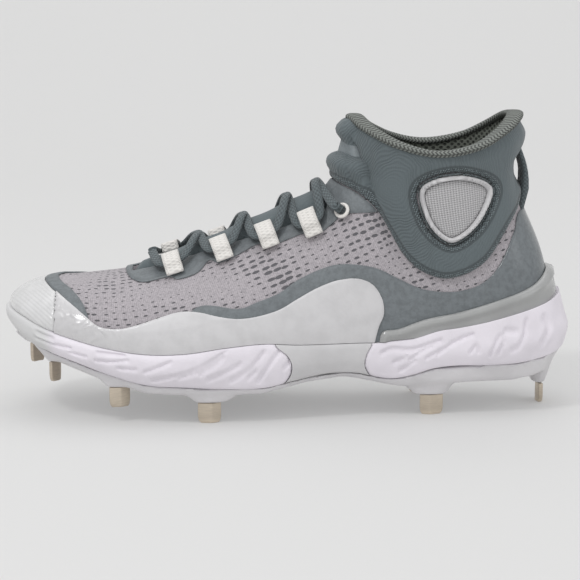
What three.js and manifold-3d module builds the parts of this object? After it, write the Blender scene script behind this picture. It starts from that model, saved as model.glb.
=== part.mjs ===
import * as THREE from 'three';
import { mergeVertices } from 'three/addons/utils/BufferGeometryUtils.js';
import Module from 'manifold-3d';

const wasm = await Module();
wasm.setup();

// Mid-cut baseball cleat for the left foot, in millimetres.
// The toe points to -X, the outer (lateral) side to -Y and the studs down.

// Driving sizes of the last and the shell
const upperLength = 286;
const ballWidth = 98;
const instepHeight = 80.5;
const ankleHeight = 37;
const soleHeight = 30;
const studLength = 10.5;
const upperWall = 2;
const clearance = 0.3;

// Thicknesses of what lies on the shell
const overlayThickness = 0.8;
const filmThickness = 0.8;
const clipThickness = 1.6;
const clipFoot = 3.6;
const cuffThickness = 3.4;
const cuffRoll = 1.5;
const podFrameThickness = 4;
const podPanelThickness = 2.2;
const podFrameWidth = 4.6;
const bindingHeight = 3.2;
const bindingOverhang = 1.4;
const bindingChamfer = 1.2;
const tongueThickness = 3;
const insoleThickness = 4;
const insoleChamfer = 1;
const toeTrimWidth = 7;

// Laces, webbing loops, eyelets and the pull loop
const laceThickness = 2.8;
const webbingWidth = 8;
const webbingLength = 11;
const webbingThickness = 1.1;
const eyeletRadius = 4.2;
const eyeletHole = 2.4;
const eyeletHeight = 1.4;
const eyeletChamfer = 0.55;
const pullLoopWidth = 18;
const pullLoopThickness = 2.2;
const pullLoopGap = 7.2;

// Studs and the pads that carry them
const studBladeThickness = 2.2;
const padTaper = 9;
const padMargin = 1.5;
const padInset = 0.015;
const padCorners = 10;
const plateMargin = 1.2;
const soleChamfer = 2;
const foamSwell = 0.6;

// Sections of the last from toe tip to heel back. Columns at and topAt are shares of upperLength,
// lateral, medial, topMid and topSide of ballWidth, base of soleHeight. Column top counts the instep
// height up to 1 and the ankle height from 1 to 2. Column face is the plan angle that the rib faces,
// in degrees from the toe direction. The last four shape the rib: lean and reach are shares of
// ballWidth, rise and drop of the rib's own height.
const lastColumns = ['at', 'lateral', 'medial', 'base', 'face', 'topAt', 'topMid', 'topSide', 'top',
  'lean', 'rise', 'reach', 'drop'];
const lastRows = [
  [0.000, -0.06, 0.06, 1.52, 0, 0.115, 0.05, 0, 0.376, 0.02, 0.50, 0.17, 0.02],
  [0.008, 0.09, 0.20, 1.50, 25, 0.118, 0.05, 0, 0.378, 0.02, 0.50, 0.18, 0.02],
  [0.030, 0.21, 0.315, 1.43, 48, 0.125, 0.05, 0, 0.381, 0.02, 0.52, 0.20, 0.02],
  [0.070, 0.32, 0.40, 1.28, 65, 0.145, 0.045, 0, 0.381, 0.03, 0.55, 0.24, 0.02],
  [0.125, 0.40, 0.455, 1.13, 78, 0.180, 0.04, 0, 0.397, 0.03, 0.55, 0.26, 0.02],
  [0.185, 0.455, 0.485, 1.00, 86, 0.220, 0.03, 0, 0.422, 0.03, 0.52, 0.26, 0.03],
  [0.250, 0.49, 0.495, 0.92, 90, 0.268, 0.02, 0, 0.471, 0.02, 0.50, 0.24, 0.04],
  [0.320, 0.505, 0.485, 0.93, 90, 0.325, 0.01, 0, 0.546, 0.02, 0.48, 0.21, 0.05],
  [0.390, 0.50, 0.455, 1.02, 90, 0.390, 0, 0, 0.639, 0.01, 0.46, 0.18, 0.05],
  [0.460, 0.475, 0.415, 1.07, 90, 0.455, 0, 0, 0.739, 0.01, 0.45, 0.17, 0.05],
  [0.520, 0.445, 0.375, 1.03, 90, 0.510, 0, 0, 0.826, 0.01, 0.45, 0.17, 0.05],
  [0.570, 0.42, 0.35, 1.02, 90, 0.555, 0, 0, 0.901, 0.01, 0.44, 0.19, 0.05],
  [0.610, 0.405, 0.335, 1.02, 90, 0.595, 0, 0, 1.000, 0.01, 0.42, 0.24, 0.05],
  [0.640, 0.395, 0.33, 1.02, 92, 0.610, 0, 0, 1.270, 0.01, 0.40, 0.24, 0.08],
  [0.670, 0.39, 0.328, 1.02, 92, 0.622, 0, 0, 1.590, 0.01, 0.40, 0.22, 0.14],
  [0.700, 0.385, 0.326, 1.05, 92, 0.637, 0, 0, 1.880, 0.02, 0.38, 0.18, 0.22],
  [0.735, 0.38, 0.327, 1.08, 92, 0.665, 0, 0.165, 1.730, 0.02, 0.36, 0.02, 0.38],
  [0.775, 0.375, 0.33, 1.13, 92, 0.715, 0, 0.300, 1.540, 0.02, 0.34, 0.00, 0.40],
  [0.820, 0.37, 0.333, 1.18, 94, 0.780, 0, 0.345, 1.430, 0.02, 0.34, -0.01, 0.40],
  [0.870, 0.36, 0.33, 1.27, 102, 0.850, 0, 0.320, 1.520, 0.02, 0.36, -0.04, 0.40],
  [0.925, 0.325, 0.305, 1.40, 125, 0.905, 0, 0.235, 1.740, 0.02, 0.40, -0.09, 0.40],
  [0.968, 0.245, 0.235, 1.50, 150, 0.932, 0, 0.130, 1.880, 0.02, 0.40, -0.14, 0.40],
  [0.992, 0.13, 0.125, 1.57, 168, 0.941, 0, 0.050, 1.910, 0.02, 0.40, -0.165, 0.40],
  [1.000, 0, 0, 1.60, 180, 0.944, 0, 0, 1.920, 0.02, 0.40, -0.17, 0.40],
];

// The sole under the same rows. Columns bed, bottom and plate are heights in shares of soleHeight:
// the footbed, the underside of the foam and the underside of the plate. Columns lip, belly, foot and
// sole are how far the foam's top edge, its middle, its lower edge and the plate's lower edge stand
// outside the upper, in shares of ballWidth.
const soleColumns = ['bed', 'bottom', 'plate', 'lip', 'belly', 'foot', 'sole'];
const soleRows = [
  [1.300, 1.18, 1.06, 0.030, 0.030, -0.01, -0.06],
  [1.280, 1.13, 1.00, 0.030, 0.030, -0.01, -0.06],
  [1.200, 0.98, 0.83, 0.030, 0.032, -0.01, -0.06],
  [1.070, 0.85, 0.66, 0.030, 0.036, -0.01, -0.05],
  [0.917, 0.70, 0.52, 0.030, 0.040, 0.00, -0.03],
  [0.800, 0.52, 0.35, 0.032, 0.042, 0.01, -0.02],
  [0.717, 0.36, 0.18, 0.034, 0.045, 0.01, -0.02],
  [0.700, 0.32, 0.15, 0.034, 0.045, 0.01, -0.02],
  [0.717, 0.28, 0.133, 0.034, 0.042, 0.01, -0.02],
  [0.750, 0.27, 0.143, 0.034, 0.040, 0.01, -0.02],
  [0.783, 0.37, 0.25, 0.032, 0.032, 0.00, -0.04],
  [0.817, 0.46, 0.34, 0.032, 0.030, 0.00, -0.05],
  [0.833, 0.48, 0.36, 0.032, 0.030, 0.00, -0.06],
  [0.850, 0.45, 0.32, 0.032, 0.034, 0.00, -0.05],
  [0.850, 0.39, 0.267, 0.034, 0.040, 0.01, -0.03],
  [0.850, 0.36, 0.21, 0.036, 0.046, 0.02, -0.02],
  [0.850, 0.42, 0.18, 0.038, 0.052, 0.03, -0.01],
  [0.850, 0.53, 0.217, 0.040, 0.056, 0.03, 0.00],
  [0.850, 0.57, 0.25, 0.040, 0.058, 0.03, 0.00],
  [0.850, 0.56, 0.24, 0.044, 0.064, 0.03, 0.00],
  [0.867, 0.58, 0.25, 0.050, 0.080, 0.05, 0.01],
  [0.900, 0.65, 0.27, 0.056, 0.105, 0.08, 0.02],
  [0.933, 0.72, 0.29, 0.062, 0.122, 0.10, 0.03],
  [0.950, 0.75, 0.30, 0.064, 0.128, 0.105, 0.035],
];

// Rows from which the collar is open, and the stations at which every loft is cut
const lastRow = lastRows.length - 1;
const collarRow = 15;
const stations = [0, 0.5, 1, 2, 3, 4.5, 6, 7.5, 9, 10.5, 12, 12.5, 13, 13.5, 14, 14.5, 15, 15.5, 16, 17,
  18.5, 20, 21, 22, 22.5, 23];
const ribSteps = [0, 0.14, 0.32, 0.52, 0.72, 0.88, 1];

// How far a cutting form reaches past the faces that it cuts, and how far its feather line is sunk
const cutReach = 6;
const cutSink = 0.5;

// Heights of the bends in the side of the foam and the plate, as shares of their depth
const foamEdge = 0.08;
const foamBelly = 0.45;
const foamShoulder = 0.8;
const plateEdge = 0.25;

// Padded rolls across the front of the cuff: the row at the middle of each, half its width in rows
// and its share of cuffRoll. The last one is the groove between the two.
const cuffRolls = [[12.6, 0.8, 1], [14.6, 0.9, 1], [13.6, 0.6, -0.6]];

// Hollow of the cuff behind the heel: half its width in rows, its place and half height up the rib
// and its depth as a share of cuffThickness
const heelHollow = { rows: 3.2, up: 0.72, half: 0.2, depth: 0.75 };

// Outlines seen from the side, as pairs of a share of upperLength and a height counted as column top
const quarterTop = [
  [0.300, 0.10], [0.346, 0.255], [0.416, 0.242], [0.451, 0.280], [0.490, 0.329], [0.524, 0.404],
  [0.563, 0.466], [0.598, 0.503], [0.633, 0.503], [0.671, 0.478], [0.706, 0.416], [0.745, 0.354],
  [0.780, 0.329], [0.818, 0.329], [0.857, 0.366], [0.885, 0.441], [0.906, 0.553], [0.927, 0.702],
  [0.948, 0.820], [1.060, 0.800],
];
const wingTop = [
  [0.087, 0.310], [0.119, 0.242], [0.140, 0.193], [0.168, 0.130], [0.203, 0.118], [0.238, 0.143],
  [0.273, 0.180], [0.311, 0.217], [0.346, 0.217], [0.381, 0.193], [0.416, 0.180], [0.451, 0.193],
  [0.490, 0.230], [0.524, 0.292], [0.559, 0.354], [0.598, 0.404], [0.633, 0.416], [0.661, 0.379],
  [0.678, 0.292], [0.682, 0.193], [0.671, 0.093], [0.661, -0.060],
];
const clipTop = [
  [0.672, -0.060], [0.678, 0.070], [0.710, 0.093], [0.762, 0.155], [0.818, 0.193], [0.895, 0.267],
  [0.958, 0.340], [1.003, 0.441], [1.060, 0.480],
];
const cuffLow = [
  [0.540, 1.250], [0.580, 1.100], [0.608, 1.010], [0.640, 0.950], [0.668, 0.863], [0.685, 0.776],
  [0.703, 0.665], [0.720, 0.565], [0.745, 0.478], [0.773, 0.429], [0.801, 0.416], [0.839, 0.453],
  [0.874, 0.540], [0.906, 0.702], [0.930, 0.826], [0.955, 0.920], [1.060, 0.930],
];
const eyestayLow = [
  [0.205, 0.460], [0.220, 0.395], [0.248, 0.375], [0.294, 0.410], [0.310, 0.400], [0.345, 0.440],
  [0.367, 0.510], [0.385, 0.500], [0.420, 0.550], [0.458, 0.615], [0.475, 0.600], [0.510, 0.645],
  [0.545, 0.690], [0.565, 0.680], [0.595, 0.760], [0.620, 0.820], [0.720, 0.830],
];
const podWindow = [
  [0.741, 0.963], [0.762, 1.130], [0.815, 1.190], [0.868, 1.120], [0.885, 0.950], [0.853, 0.764],
  [0.818, 0.640], [0.790, 0.640], [0.762, 0.764],
];

// Outlines seen from above, as pairs of shares of upperLength and ballWidth
const toeEdge = [
  [0.195, 0.56], [0.160, 0.43], [0.115, 0.31], [0.080, 0.194], [0.062, 0.061], [0.070, -0.100],
  [0.094, -0.245], [0.119, -0.388], [0.140, -0.56],
];
const throatHalf = [
  [0.226, 0.070], [0.300, 0.100], [0.400, 0.130], [0.500, 0.150], [0.585, 0.160],
];
const tongueHalf = [
  [0.205, 0.16], [0.300, 0.22], [0.400, 0.26], [0.500, 0.27], [0.600, 0.25],
];

// Places of the webbing loops and top eyelets, as shares of upperLength and ballWidth
const loopPlaces = [
  [0.303, 0.165], [0.392, 0.170], [0.474, 0.175], [0.554, 0.185],
];
const eyeletPlace = [0.613, 0.230];

// Studs: place as shares of upperLength and ballWidth, tip height as a share of soleHeight above the
// lowest studs, blade arm lengths in front of and behind the bend, the bend in degrees and the turn
// of the whole blade in degrees. Arms are shares of studLength.
const studColumns = ['at', 'side', 'lift', 'front', 'rear', 'bend', 'turn'];
const studRows = {
  stud_toe_medial: [0.042, 0.165, 0.73, 0.45, 0.35, 25, 40],
  stud_toe_lateral: [0.085, -0.215, 0.63, 0.40, 0.30, 25, -55],
  stud_fore_medial: [0.210, 0.400, 0.23, 0.55, 0.50, 30, 8],
  stud_fore_lateral: [0.203, -0.385, 0.27, 0.55, 0.50, 30, -20],
  stud_ball_medial: [0.385, 0.385, 0, 0.68, 0.48, 35, 8],
  stud_ball_lateral: [0.368, -0.430, 0, 0.68, 0.48, 35, -10],
  stud_heel_medial: [0.772, 0.270, 0, 0.50, 0.68, 35, 0],
  stud_heel_lateral: [0.772, -0.300, 0, 0.50, 0.68, 35, 0],
  stud_heel_rear: [0.990, 0.000, 0, 0.60, 0.60, 20, 90],
};

const colours = {
  mesh: 0xb3adb1, overlay: 0x6b7677, film: 0xc6c8c8, cuff: 0x69767a, foam: 0xdcd8e0, bridge: 0xc3c4c3,
  plate: 0xc2c3c6, clip: 0xa3a5a3, metal: 0xc9beae, webbing: 0xe8e5e0, lace: 0x6e7b7c, pod: 0xcfd0d1,
  insole: 0x7d8280, binding: 0x8b938f,
};

// Curve through the rows of a table, with a mirrored row past the toe and past the heel
function splineAt(values, s) {
  const i = Math.min(Math.max(Math.floor(s), 0), values.length - 4);
  const t = s - i;
  const [a, b, c, d] = values.slice(i, i + 4);
  return b + 0.5 * t * (c - a + t * (2 * a - 5 * b + 4 * c - d + t * (3 * (b - c) + d - a)));
}

function withGhosts(values, before, after) {
  return [before, ...values, after];
}

function readColumn(rows, columns, name) {
  const index = columns.indexOf(name);
  return rows.map((row) => row[index]);
}

function buildCurves() {
  const curves = {};
  const last = lastRow;
  for (const name of lastColumns) {
    const values = readColumn(lastRows, lastColumns, name);
    const other = { lateral: 'medial', medial: 'lateral' }[name];
    if (other) {
      const opposite = readColumn(lastRows, lastColumns, other);
      curves[name] = withGhosts(values, -opposite[1], -opposite[last - 1]);
    } else if (name === 'face') {
      curves[name] = withGhosts(values, -values[1], 2 * values[last] - values[last - 1]);
    } else if (name === 'topSide') {
      curves[name] = withGhosts(values, values[1], -values[last - 1]);
    } else {
      curves[name] = withGhosts(values, values[1], values[last - 1]);
    }
  }
  for (const name of soleColumns) {
    const values = readColumn(soleRows, soleColumns, name);
    curves[name] = withGhosts(values, values[1], values[last - 1]);
  }
  return curves;
}

const curves = buildCurves();

function value(name, s) {
  return splineAt(curves[name], s);
}

// Heights and places from shares
function placeX(at) {
  return (at - 0.5) * upperLength;
}

function heightOf(up) {
  return soleHeight + instepHeight * Math.min(up, 1) + ankleHeight * Math.max(up - 1, 0);
}

function soleZ(name, s) {
  return soleHeight * value(name, s);
}

// Point on the feather line, side -1 is lateral and 1 medial
function basePoint(s, side) {
  if (s < 0) return basePoint(-s, -side);
  if (s > lastRow) return basePoint(2 * lastRow - s, -side);
  const y = side * ballWidth * value(side < 0 ? 'lateral' : 'medial', s);
  return new THREE.Vector3(placeX(value('at', s)), y, soleZ('base', s));
}

function topSide(s) {
  return s <= collarRow || s >= lastRow ? 0 : Math.max(value('topSide', s), 0);
}

function topPoint(s, side) {
  const y = ballWidth * (value('topMid', s) + side * topSide(s));
  return new THREE.Vector3(placeX(value('topAt', s)), y, heightOf(value('top', s)));
}

// Point on a rib, v runs from 0 at the feather line to 1 at the top
function ribPoint(s, side, v) {
  if (s < 0) return ribPoint(-s, -side, v);
  if (s > lastRow) return ribPoint(2 * lastRow - s, -side, v);
  const low = basePoint(s, side);
  const high = topPoint(s, side);
  const height = high.z - low.z;
  const face = THREE.MathUtils.degToRad(value('face', s));
  const out = new THREE.Vector3(-Math.cos(face), side * Math.sin(face), 0);
  const lowHandle = low.clone().addScaledVector(out, value('lean', s) * ballWidth);
  lowHandle.z += value('rise', s) * height;
  const highHandle = high.clone().addScaledVector(out, value('reach', s) * ballWidth);
  highHandle.z -= value('drop', s) * height;
  const u = 1 - v;
  return low.multiplyScalar(u * u * u)
    .addScaledVector(lowHandle, 3 * u * u * v)
    .addScaledVector(highHandle, 3 * u * v * v)
    .addScaledVector(high, v * v * v);
}

function sideNormal(s, side, v) {
  const step = 0.02;
  const at = Math.min(Math.max(v, step), 1 - step);
  const along = ribPoint(s + step, side, at).sub(ribPoint(s - step, side, at));
  const up = ribPoint(s, side, at + step).sub(ribPoint(s, side, at - step));
  return along.cross(up).multiplyScalar(-side).normalize();
}

// Level outward direction, square to the feather line in plan
function soleOut(s, side) {
  const step = 0.02;
  const along = basePoint(s + step, side).sub(basePoint(s - step, side)).setZ(0).normalize();
  return new THREE.Vector3(along.y, -along.x, 0).multiplyScalar(-side);
}

// Point on the collar's rim, which starts at its front row and closes behind the heel
function rimPoint(s, side) {
  if (s < collarRow) return topPoint(2 * collarRow - s, -side);
  if (s > lastRow) return topPoint(2 * lastRow - s, -side);
  return topPoint(s, side);
}

function rimOut(s, side) {
  const step = 0.05;
  const along = rimPoint(s + step, side).sub(rimPoint(s - step, side)).setZ(0).normalize();
  return new THREE.Vector3(along.y, -along.x, 0).multiplyScalar(-side);
}

// Outward direction: level at the feather line and the rim, shared by both sides along the ridge
function skinNormal(s, side, v) {
  if (v === 0) return soleOut(s, side);
  if (v === 1 && s >= collarRow) return rimOut(s, side);
  const normal = sideNormal(s, side, v);
  if (v === 1 && topSide(s) === 0) normal.add(sideNormal(s, -side, v));
  return normal.normalize();
}

function skinPoint(s, side, v, offset) {
  const distance = typeof offset === 'function' ? offset(s, v, side) : offset;
  return ribPoint(s, side, v).addScaledVector(skinNormal(s, side, v), distance);
}

// Closed solid through a stack of equal rings, whose first and last rings fold flat
function ringStack(rings) {
  const count = rings[0].length;
  const indices = [];
  for (let i = 0; i + 1 < rings.length; i += 1) {
    for (let j = 0; j < count; j += 1) {
      const next = (j + 1) % count;
      const [a, b, c, d] = [i * count + j, i * count + next, (i + 1) * count + next, (i + 1) * count + j];
      if (j < count / 2) indices.push(a, d, b, b, d, c);
      else indices.push(a, d, c, a, c, b);
    }
  }
  return meshFrom(rings.flat(), indices);
}

function meshFrom(points, indices) {
  const geometry = new THREE.BufferGeometry().setFromPoints(points);
  geometry.setIndex(indices);
  return geometry;
}

function solidFrom(geometry) {
  const bare = geometry.clone();
  bare.deleteAttribute('normal');
  bare.deleteAttribute('uv');
  const merged = mergeVertices(bare, 1e-4);
  const source = merged.index.array;
  const kept = [];
  for (let i = 0; i < source.length; i += 3) {
    const [a, b, c] = [source[i], source[i + 1], source[i + 2]];
    if (a !== b && b !== c && c !== a) kept.push(a, b, c);
  }
  const vertProperties = new Float32Array(merged.attributes.position.array);
  return new wasm.Manifold(new wasm.Mesh({ numProp: 3, vertProperties, triVerts: new Uint32Array(kept) }));
}

function geometryFrom(solid) {
  const mesh = solid.getMesh();
  const geometry = new THREE.BufferGeometry();
  geometry.setAttribute('position', new THREE.BufferAttribute(new Float32Array(mesh.vertProperties), 3));
  geometry.setIndex(new THREE.BufferAttribute(new Uint32Array(mesh.triVerts), 1));
  return geometry;
}

function ladder(from, to, count) {
  const points = [];
  for (let i = 1; i < count; i += 1) points.push(from.clone().lerp(to, i / count));
  return points;
}

// The last grown or shrunk by an offset, drawn out below the feather line and above the collar. A form
// that only cuts has its feather line sunk, so that its corners stay off the faces that it cuts.
function lastForm(offset, { down = null, up = 0, sink = 0 } = {}) {
  const rings = stations.map((s) => {
    const halves = [-1, 1].map((side) => {
      const points = ribSteps.map((v) => skinPoint(s, side, v, offset));
      const foot = down ? points[0].clone().setZ(down(s)) : basePoint(s, side);
      points[0].z -= sink;
      const crown = points[points.length - 1].clone();
      crown.z += up * Math.min(topSide(s) * 8, 1);
      return [foot, ...points, ...(up ? [crown] : [])];
    });
    const [lateral, medial] = halves;
    const lateralTop = lateral[lateral.length - 1];
    const medialTop = medial[medial.length - 1];
    return [...lateral, ...ladder(lateralTop, medialTop, 2), ...medial.slice().reverse(),
      ...ladder(medial[0], lateral[0], 2)];
  });
  return solidFrom(ringStack(rings));
}

function shellBetween(inner, outer) {
  const down = (s) => soleZ('base', s) - cutReach;
  return lastForm(outer).subtract(lastForm(inner, { down, up: 2 * cutReach, sink: cutSink }));
}

// Prisms that cut an overlay: one seen from the side, one seen from above
function sidePrism(points, fromY, toY) {
  const shape = new THREE.Shape(points.map(([x, z]) => new THREE.Vector2(x, z)));
  const geometry = new THREE.ExtrudeGeometry(shape, { depth: toY - fromY, bevelEnabled: false });
  geometry.rotateX(Math.PI / 2);
  geometry.translate(0, toY, 0);
  return solidFrom(geometry);
}

function topPrism(points, fromZ, toZ) {
  const shape = new THREE.Shape(points.map(([x, y]) => new THREE.Vector2(x, y)));
  const geometry = new THREE.ExtrudeGeometry(shape, { depth: toZ - fromZ, bevelEnabled: false });
  geometry.translate(0, 0, fromZ);
  return solidFrom(geometry);
}

function sidePlaces(rows) {
  return rows.map(([at, up]) => [placeX(at), heightOf(up)]);
}

function topPlaces(rows) {
  return rows.map(([at, side]) => [placeX(at), side * ballWidth]);
}

const farY = ballWidth;
const lowZ = -soleHeight;
const highZ = soleHeight + instepHeight + 2 * ankleHeight;

function bothSides(points) {
  return sidePrism(points, -farY, farY);
}

const middleGap = ballWidth * 0.02;

function oneSide(points, side) {
  return side < 0 ? sidePrism(points, -farY, -middleGap) : sidePrism(points, middleGap, farY);
}

// Region under a side outline
function below(rows, lift = 0) {
  const edge = sidePlaces(rows).map(([x, z]) => [x, z + lift]);
  return [...edge, [edge[edge.length - 1][0], lowZ], [edge[0][0], lowZ]];
}

// Region above a side outline
function above(rows, lift = 0) {
  const edge = sidePlaces(rows).map(([x, z]) => [x, z + lift]);
  return [...edge, [edge[edge.length - 1][0], highZ], [edge[0][0], highZ]];
}

// Strip along the ridge from rows of half widths
function ridgeStrip(rows) {
  const left = rows.map(([at, half]) => [placeX(at), -half * ballWidth]);
  const right = rows.map(([at, half]) => [placeX(at), half * ballWidth]);
  return [...left, ...right.reverse()];
}

function shiftedLine(points, distance) {
  return points.map(([x, y], i) => {
    const before = points[Math.max(i - 1, 0)];
    const after = points[Math.min(i + 1, points.length - 1)];
    const run = new THREE.Vector2(after[0] - before[0], after[1] - before[1]).normalize();
    return [x - run.y * distance, y + run.x * distance];
  });
}

// Pieces of the upper
function upperFoot(s) {
  return soleZ('bed', s) + clearance;
}

function makeUpper() {
  const outer = lastForm(0, { down: upperFoot });
  const inner = lastForm(-upperWall, { down: (s) => upperFoot(s) - cutReach, up: 2 * cutReach });
  const throat = topPrism(ridgeStrip(throatHalf), soleHeight, highZ);
  return outer.subtract(inner).subtract(throat);
}

function makeTongue() {
  const outer = -upperWall - clearance;
  const shell = shellBetween(outer - tongueThickness, outer);
  const strip = topPrism(ridgeStrip(tongueHalf), soleHeight, heightOf(1));
  return shell.intersect(strip);
}

const overlayInner = clearance;
const overlayOuter = overlayInner + overlayThickness;
const filmInner = overlayOuter + clearance;
const filmOuter = filmInner + filmThickness;

function makeToeCap() {
  const edge = topPlaces(toeEdge);
  const front = placeX(-0.1);
  const region = [...edge, [front, edge[edge.length - 1][1]], [front, edge[0][1]]];
  const seam = placeX(wingTop[0][0]) - clearance;
  const block = topPrism([[front, -farY], [seam, -farY], [seam, farY], [front, farY]], lowZ, highZ);
  return shellBetween(overlayInner, overlayOuter).intersect(topPrism(region, lowZ, highZ)).intersect(block);
}

function makeToeTrim() {
  const edge = topPlaces(toeEdge);
  const near = shiftedLine(edge, clearance);
  const far = shiftedLine(edge, clearance + toeTrimWidth);
  const band = topPrism([...near, ...far.reverse()], lowZ, highZ);
  return shellBetween(overlayInner, overlayOuter).intersect(band);
}

function makeWing(side) {
  return shellBetween(filmInner, filmOuter).intersect(oneSide(below(wingTop), side));
}

function makeQuarterOverlay() {
  return shellBetween(overlayInner, overlayOuter).intersect(bothSides(below(quarterTop)));
}

function makeEyestay() {
  const throat = topPrism(ridgeStrip(throatHalf), soleHeight, highZ);
  return shellBetween(overlayInner, overlayOuter)
    .intersect(bothSides(above(eyestayLow)))
    .subtract(bothSides(above(cuffLow, -2 * clearance)))
    .subtract(throat);
}

// The cuff's face: rolls across its front, a hollow behind the heel where the pull loop stands off
function bump(x, centre, half) {
  return Math.max(0, 1 - ((x - centre) / half) ** 2);
}

function cuffFace(s, v) {
  const front = Math.max(0, 2 * v - 1);
  const rolls = cuffRolls.reduce((sum, [row, half, share]) => sum + share * bump(s, row, half), 0);
  const hollow = bump(s, lastRow, heelHollow.rows) * bump(v, heelHollow.up, heelHollow.half);
  return clearance + cuffThickness * (1 - heelHollow.depth * hollow) + cuffRoll * front * rolls;
}

function podOutline(inset) {
  const points = sidePlaces(podWindow);
  const centre = points.reduce(([a, b], [x, z]) => [a + x / points.length, b + z / points.length], [0, 0]);
  return points.map(([x, z]) => {
    const reach = Math.hypot(x - centre[0], z - centre[1]);
    const share = (reach - inset) / reach;
    return [centre[0] + (x - centre[0]) * share, centre[1] + (z - centre[1]) * share];
  });
}

function makeCuff() {
  return shellBetween(clearance, cuffFace)
    .intersect(bothSides(above(cuffLow)))
    .subtract(bothSides(podOutline(-clearance)));
}

function makePodFrame(side) {
  return shellBetween(clearance, clearance + podFrameThickness)
    .intersect(oneSide(podOutline(0), side))
    .subtract(bothSides(podOutline(podFrameWidth)));
}

function makePodPanel(side) {
  return shellBetween(clearance, clearance + podPanelThickness)
    .intersect(oneSide(podOutline(podFrameWidth + clearance), side));
}

// The clip behind the heel, thicker where it stands on the foam
function clipFace(s, v) {
  const back = THREE.MathUtils.smoothstep(s, lastRow - 4, lastRow);
  return filmInner + clipThickness + clipFoot * back * Math.max(0, 1 - v * 4);
}

function makeClip() {
  return shellBetween(filmInner, clipFace).intersect(bothSides(below(clipTop)));
}

function makeBinding() {
  const rimSteps = stations.filter((s) => s >= collarRow);
  const stops = [...rimSteps.map((s) => [s, -1]), ...rimSteps.slice(1, -1).reverse().map((s) => [s, 1])];
  const inside = -upperWall - bindingOverhang;
  const outside = clearance + cuffThickness + bindingOverhang;
  const low = 2 * clearance;
  const high = low + bindingHeight;
  const section = [[inside, low], [outside, low], [outside, high - bindingChamfer],
    [outside - bindingChamfer, high], [inside + bindingChamfer, high], [inside, high - bindingChamfer]];
  const points = [];
  for (const [s, side] of stops) {
    const out = rimOut(s, side);
    for (const [reach, rise] of section) {
      points.push(rimPoint(s, side).addScaledVector(out, reach).add(new THREE.Vector3(0, 0, rise)));
    }
  }
  const count = section.length;
  const indices = [];
  for (let i = 0; i < stops.length; i += 1) {
    const after = (i + 1) % stops.length;
    for (let j = 0; j < count; j += 1) {
      const next = (j + 1) % count;
      const [a, b, c, d] = [i * count + j, i * count + next, after * count + next, after * count + j];
      indices.push(a, c, b, a, d, c);
    }
  }
  return solidFrom(meshFrom(points, indices));
}

// The sole: rings through lateral and medial halves of one section
function soleRing(s, section) {
  const halves = [-1, 1].map((side) => {
    const base = basePoint(s, side);
    const out = soleOut(s, side);
    return section.map(([reach, z]) => base.clone().addScaledVector(out, reach).setZ(z));
  });
  const [lateral, medial] = halves;
  return [...lateral, ...ladder(lateral[lateral.length - 1], medial[medial.length - 1], 2),
    ...medial.slice().reverse(), ...ladder(medial[0], lateral[0], 2)];
}

function soleStack(sectionAt) {
  return solidFrom(ringStack(stations.map((s) => soleRing(s, sectionAt(s)))));
}

function foamSection(s) {
  const bottom = soleZ('bottom', s);
  const top = soleZ('base', s) - clearance;
  const [lip, belly, foot] = ['lip', 'belly', 'foot'].map((name) => ballWidth * value(name, s));
  const depth = top - bottom;
  return [[foot - soleChamfer, bottom], [foot, bottom + depth * foamEdge],
    [belly, bottom + depth * foamBelly], [(belly + lip) / 2 + foamSwell, bottom + depth * foamShoulder],
    [lip, top], [clearance, top], [clearance, soleZ('bed', s)]];
}

function makeFoam() {
  return soleStack(foamSection);
}

function plateSection(s) {
  const top = soleZ('bottom', s) - clearance;
  const low = soleZ('plate', s);
  const foot = ballWidth * value('foot', s) - plateMargin;
  const sole = ballWidth * value('sole', s);
  return [[sole - soleChamfer, low], [sole, low + (top - low) * plateEdge], [foot, top]];
}

function makePlate() {
  return Object.keys(studRows).map(makePad).reduce((plate, pad) => plate.add(pad), soleStack(plateSection));
}

function makeInsole() {
  const edge = -upperWall - clearance;
  const section = (s) => {
    const low = soleZ('bed', s) + clearance;
    return [[edge, low], [edge, low + insoleThickness - insoleChamfer],
      [edge - insoleChamfer, low + insoleThickness]];
  };
  return soleStack(section);
}

// Ends of the forefoot pod and the heel pod, seen from the side
const bridgeFront = [
  [0.515, -1.2], [0.502, -0.30], [0.508, -0.19], [0.513, -0.10], [0.506, -0.03], [0.494, 0.02],
  [0.488, 0.10], [0.488, 0.6],
];
const bridgeRear = [
  [0.655, -1.2], [0.650, -0.25], [0.645, -0.13], [0.652, -0.05], [0.668, 0.03], [0.672, 0.10],
  [0.672, 0.6],
];

function soleCuts() {
  const front = sidePlaces(bridgeFront);
  const rear = sidePlaces(bridgeRear);
  const shift = (line, by) => line.map(([x, z]) => [x + by, z]);
  const toe = placeX(-0.2);
  const heel = placeX(1.2);
  const ends = (line) => [line[line.length - 1][1], line[0][1]];
  const [frontTop, frontLow] = ends(front);
  const [rearTop, rearLow] = ends(rear);
  return {
    forefoot: [...front, [toe, frontTop], [toe, frontLow]],
    bridge: [...shift(front, clearance), ...shift(rear, -clearance).reverse()],
    heel: [...rear, [heel, rearTop], [heel, rearLow]],
  };
}

// Studs: a bent blade with a rounded foot, seated under its pad
function studFacts(name) {
  const row = Object.fromEntries(studColumns.map((column, i) => [column, studRows[name][i]]));
  return { ...row, x: placeX(row.at), y: row.side * ballWidth, tip: row.lift * soleHeight - studLength };
}

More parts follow.
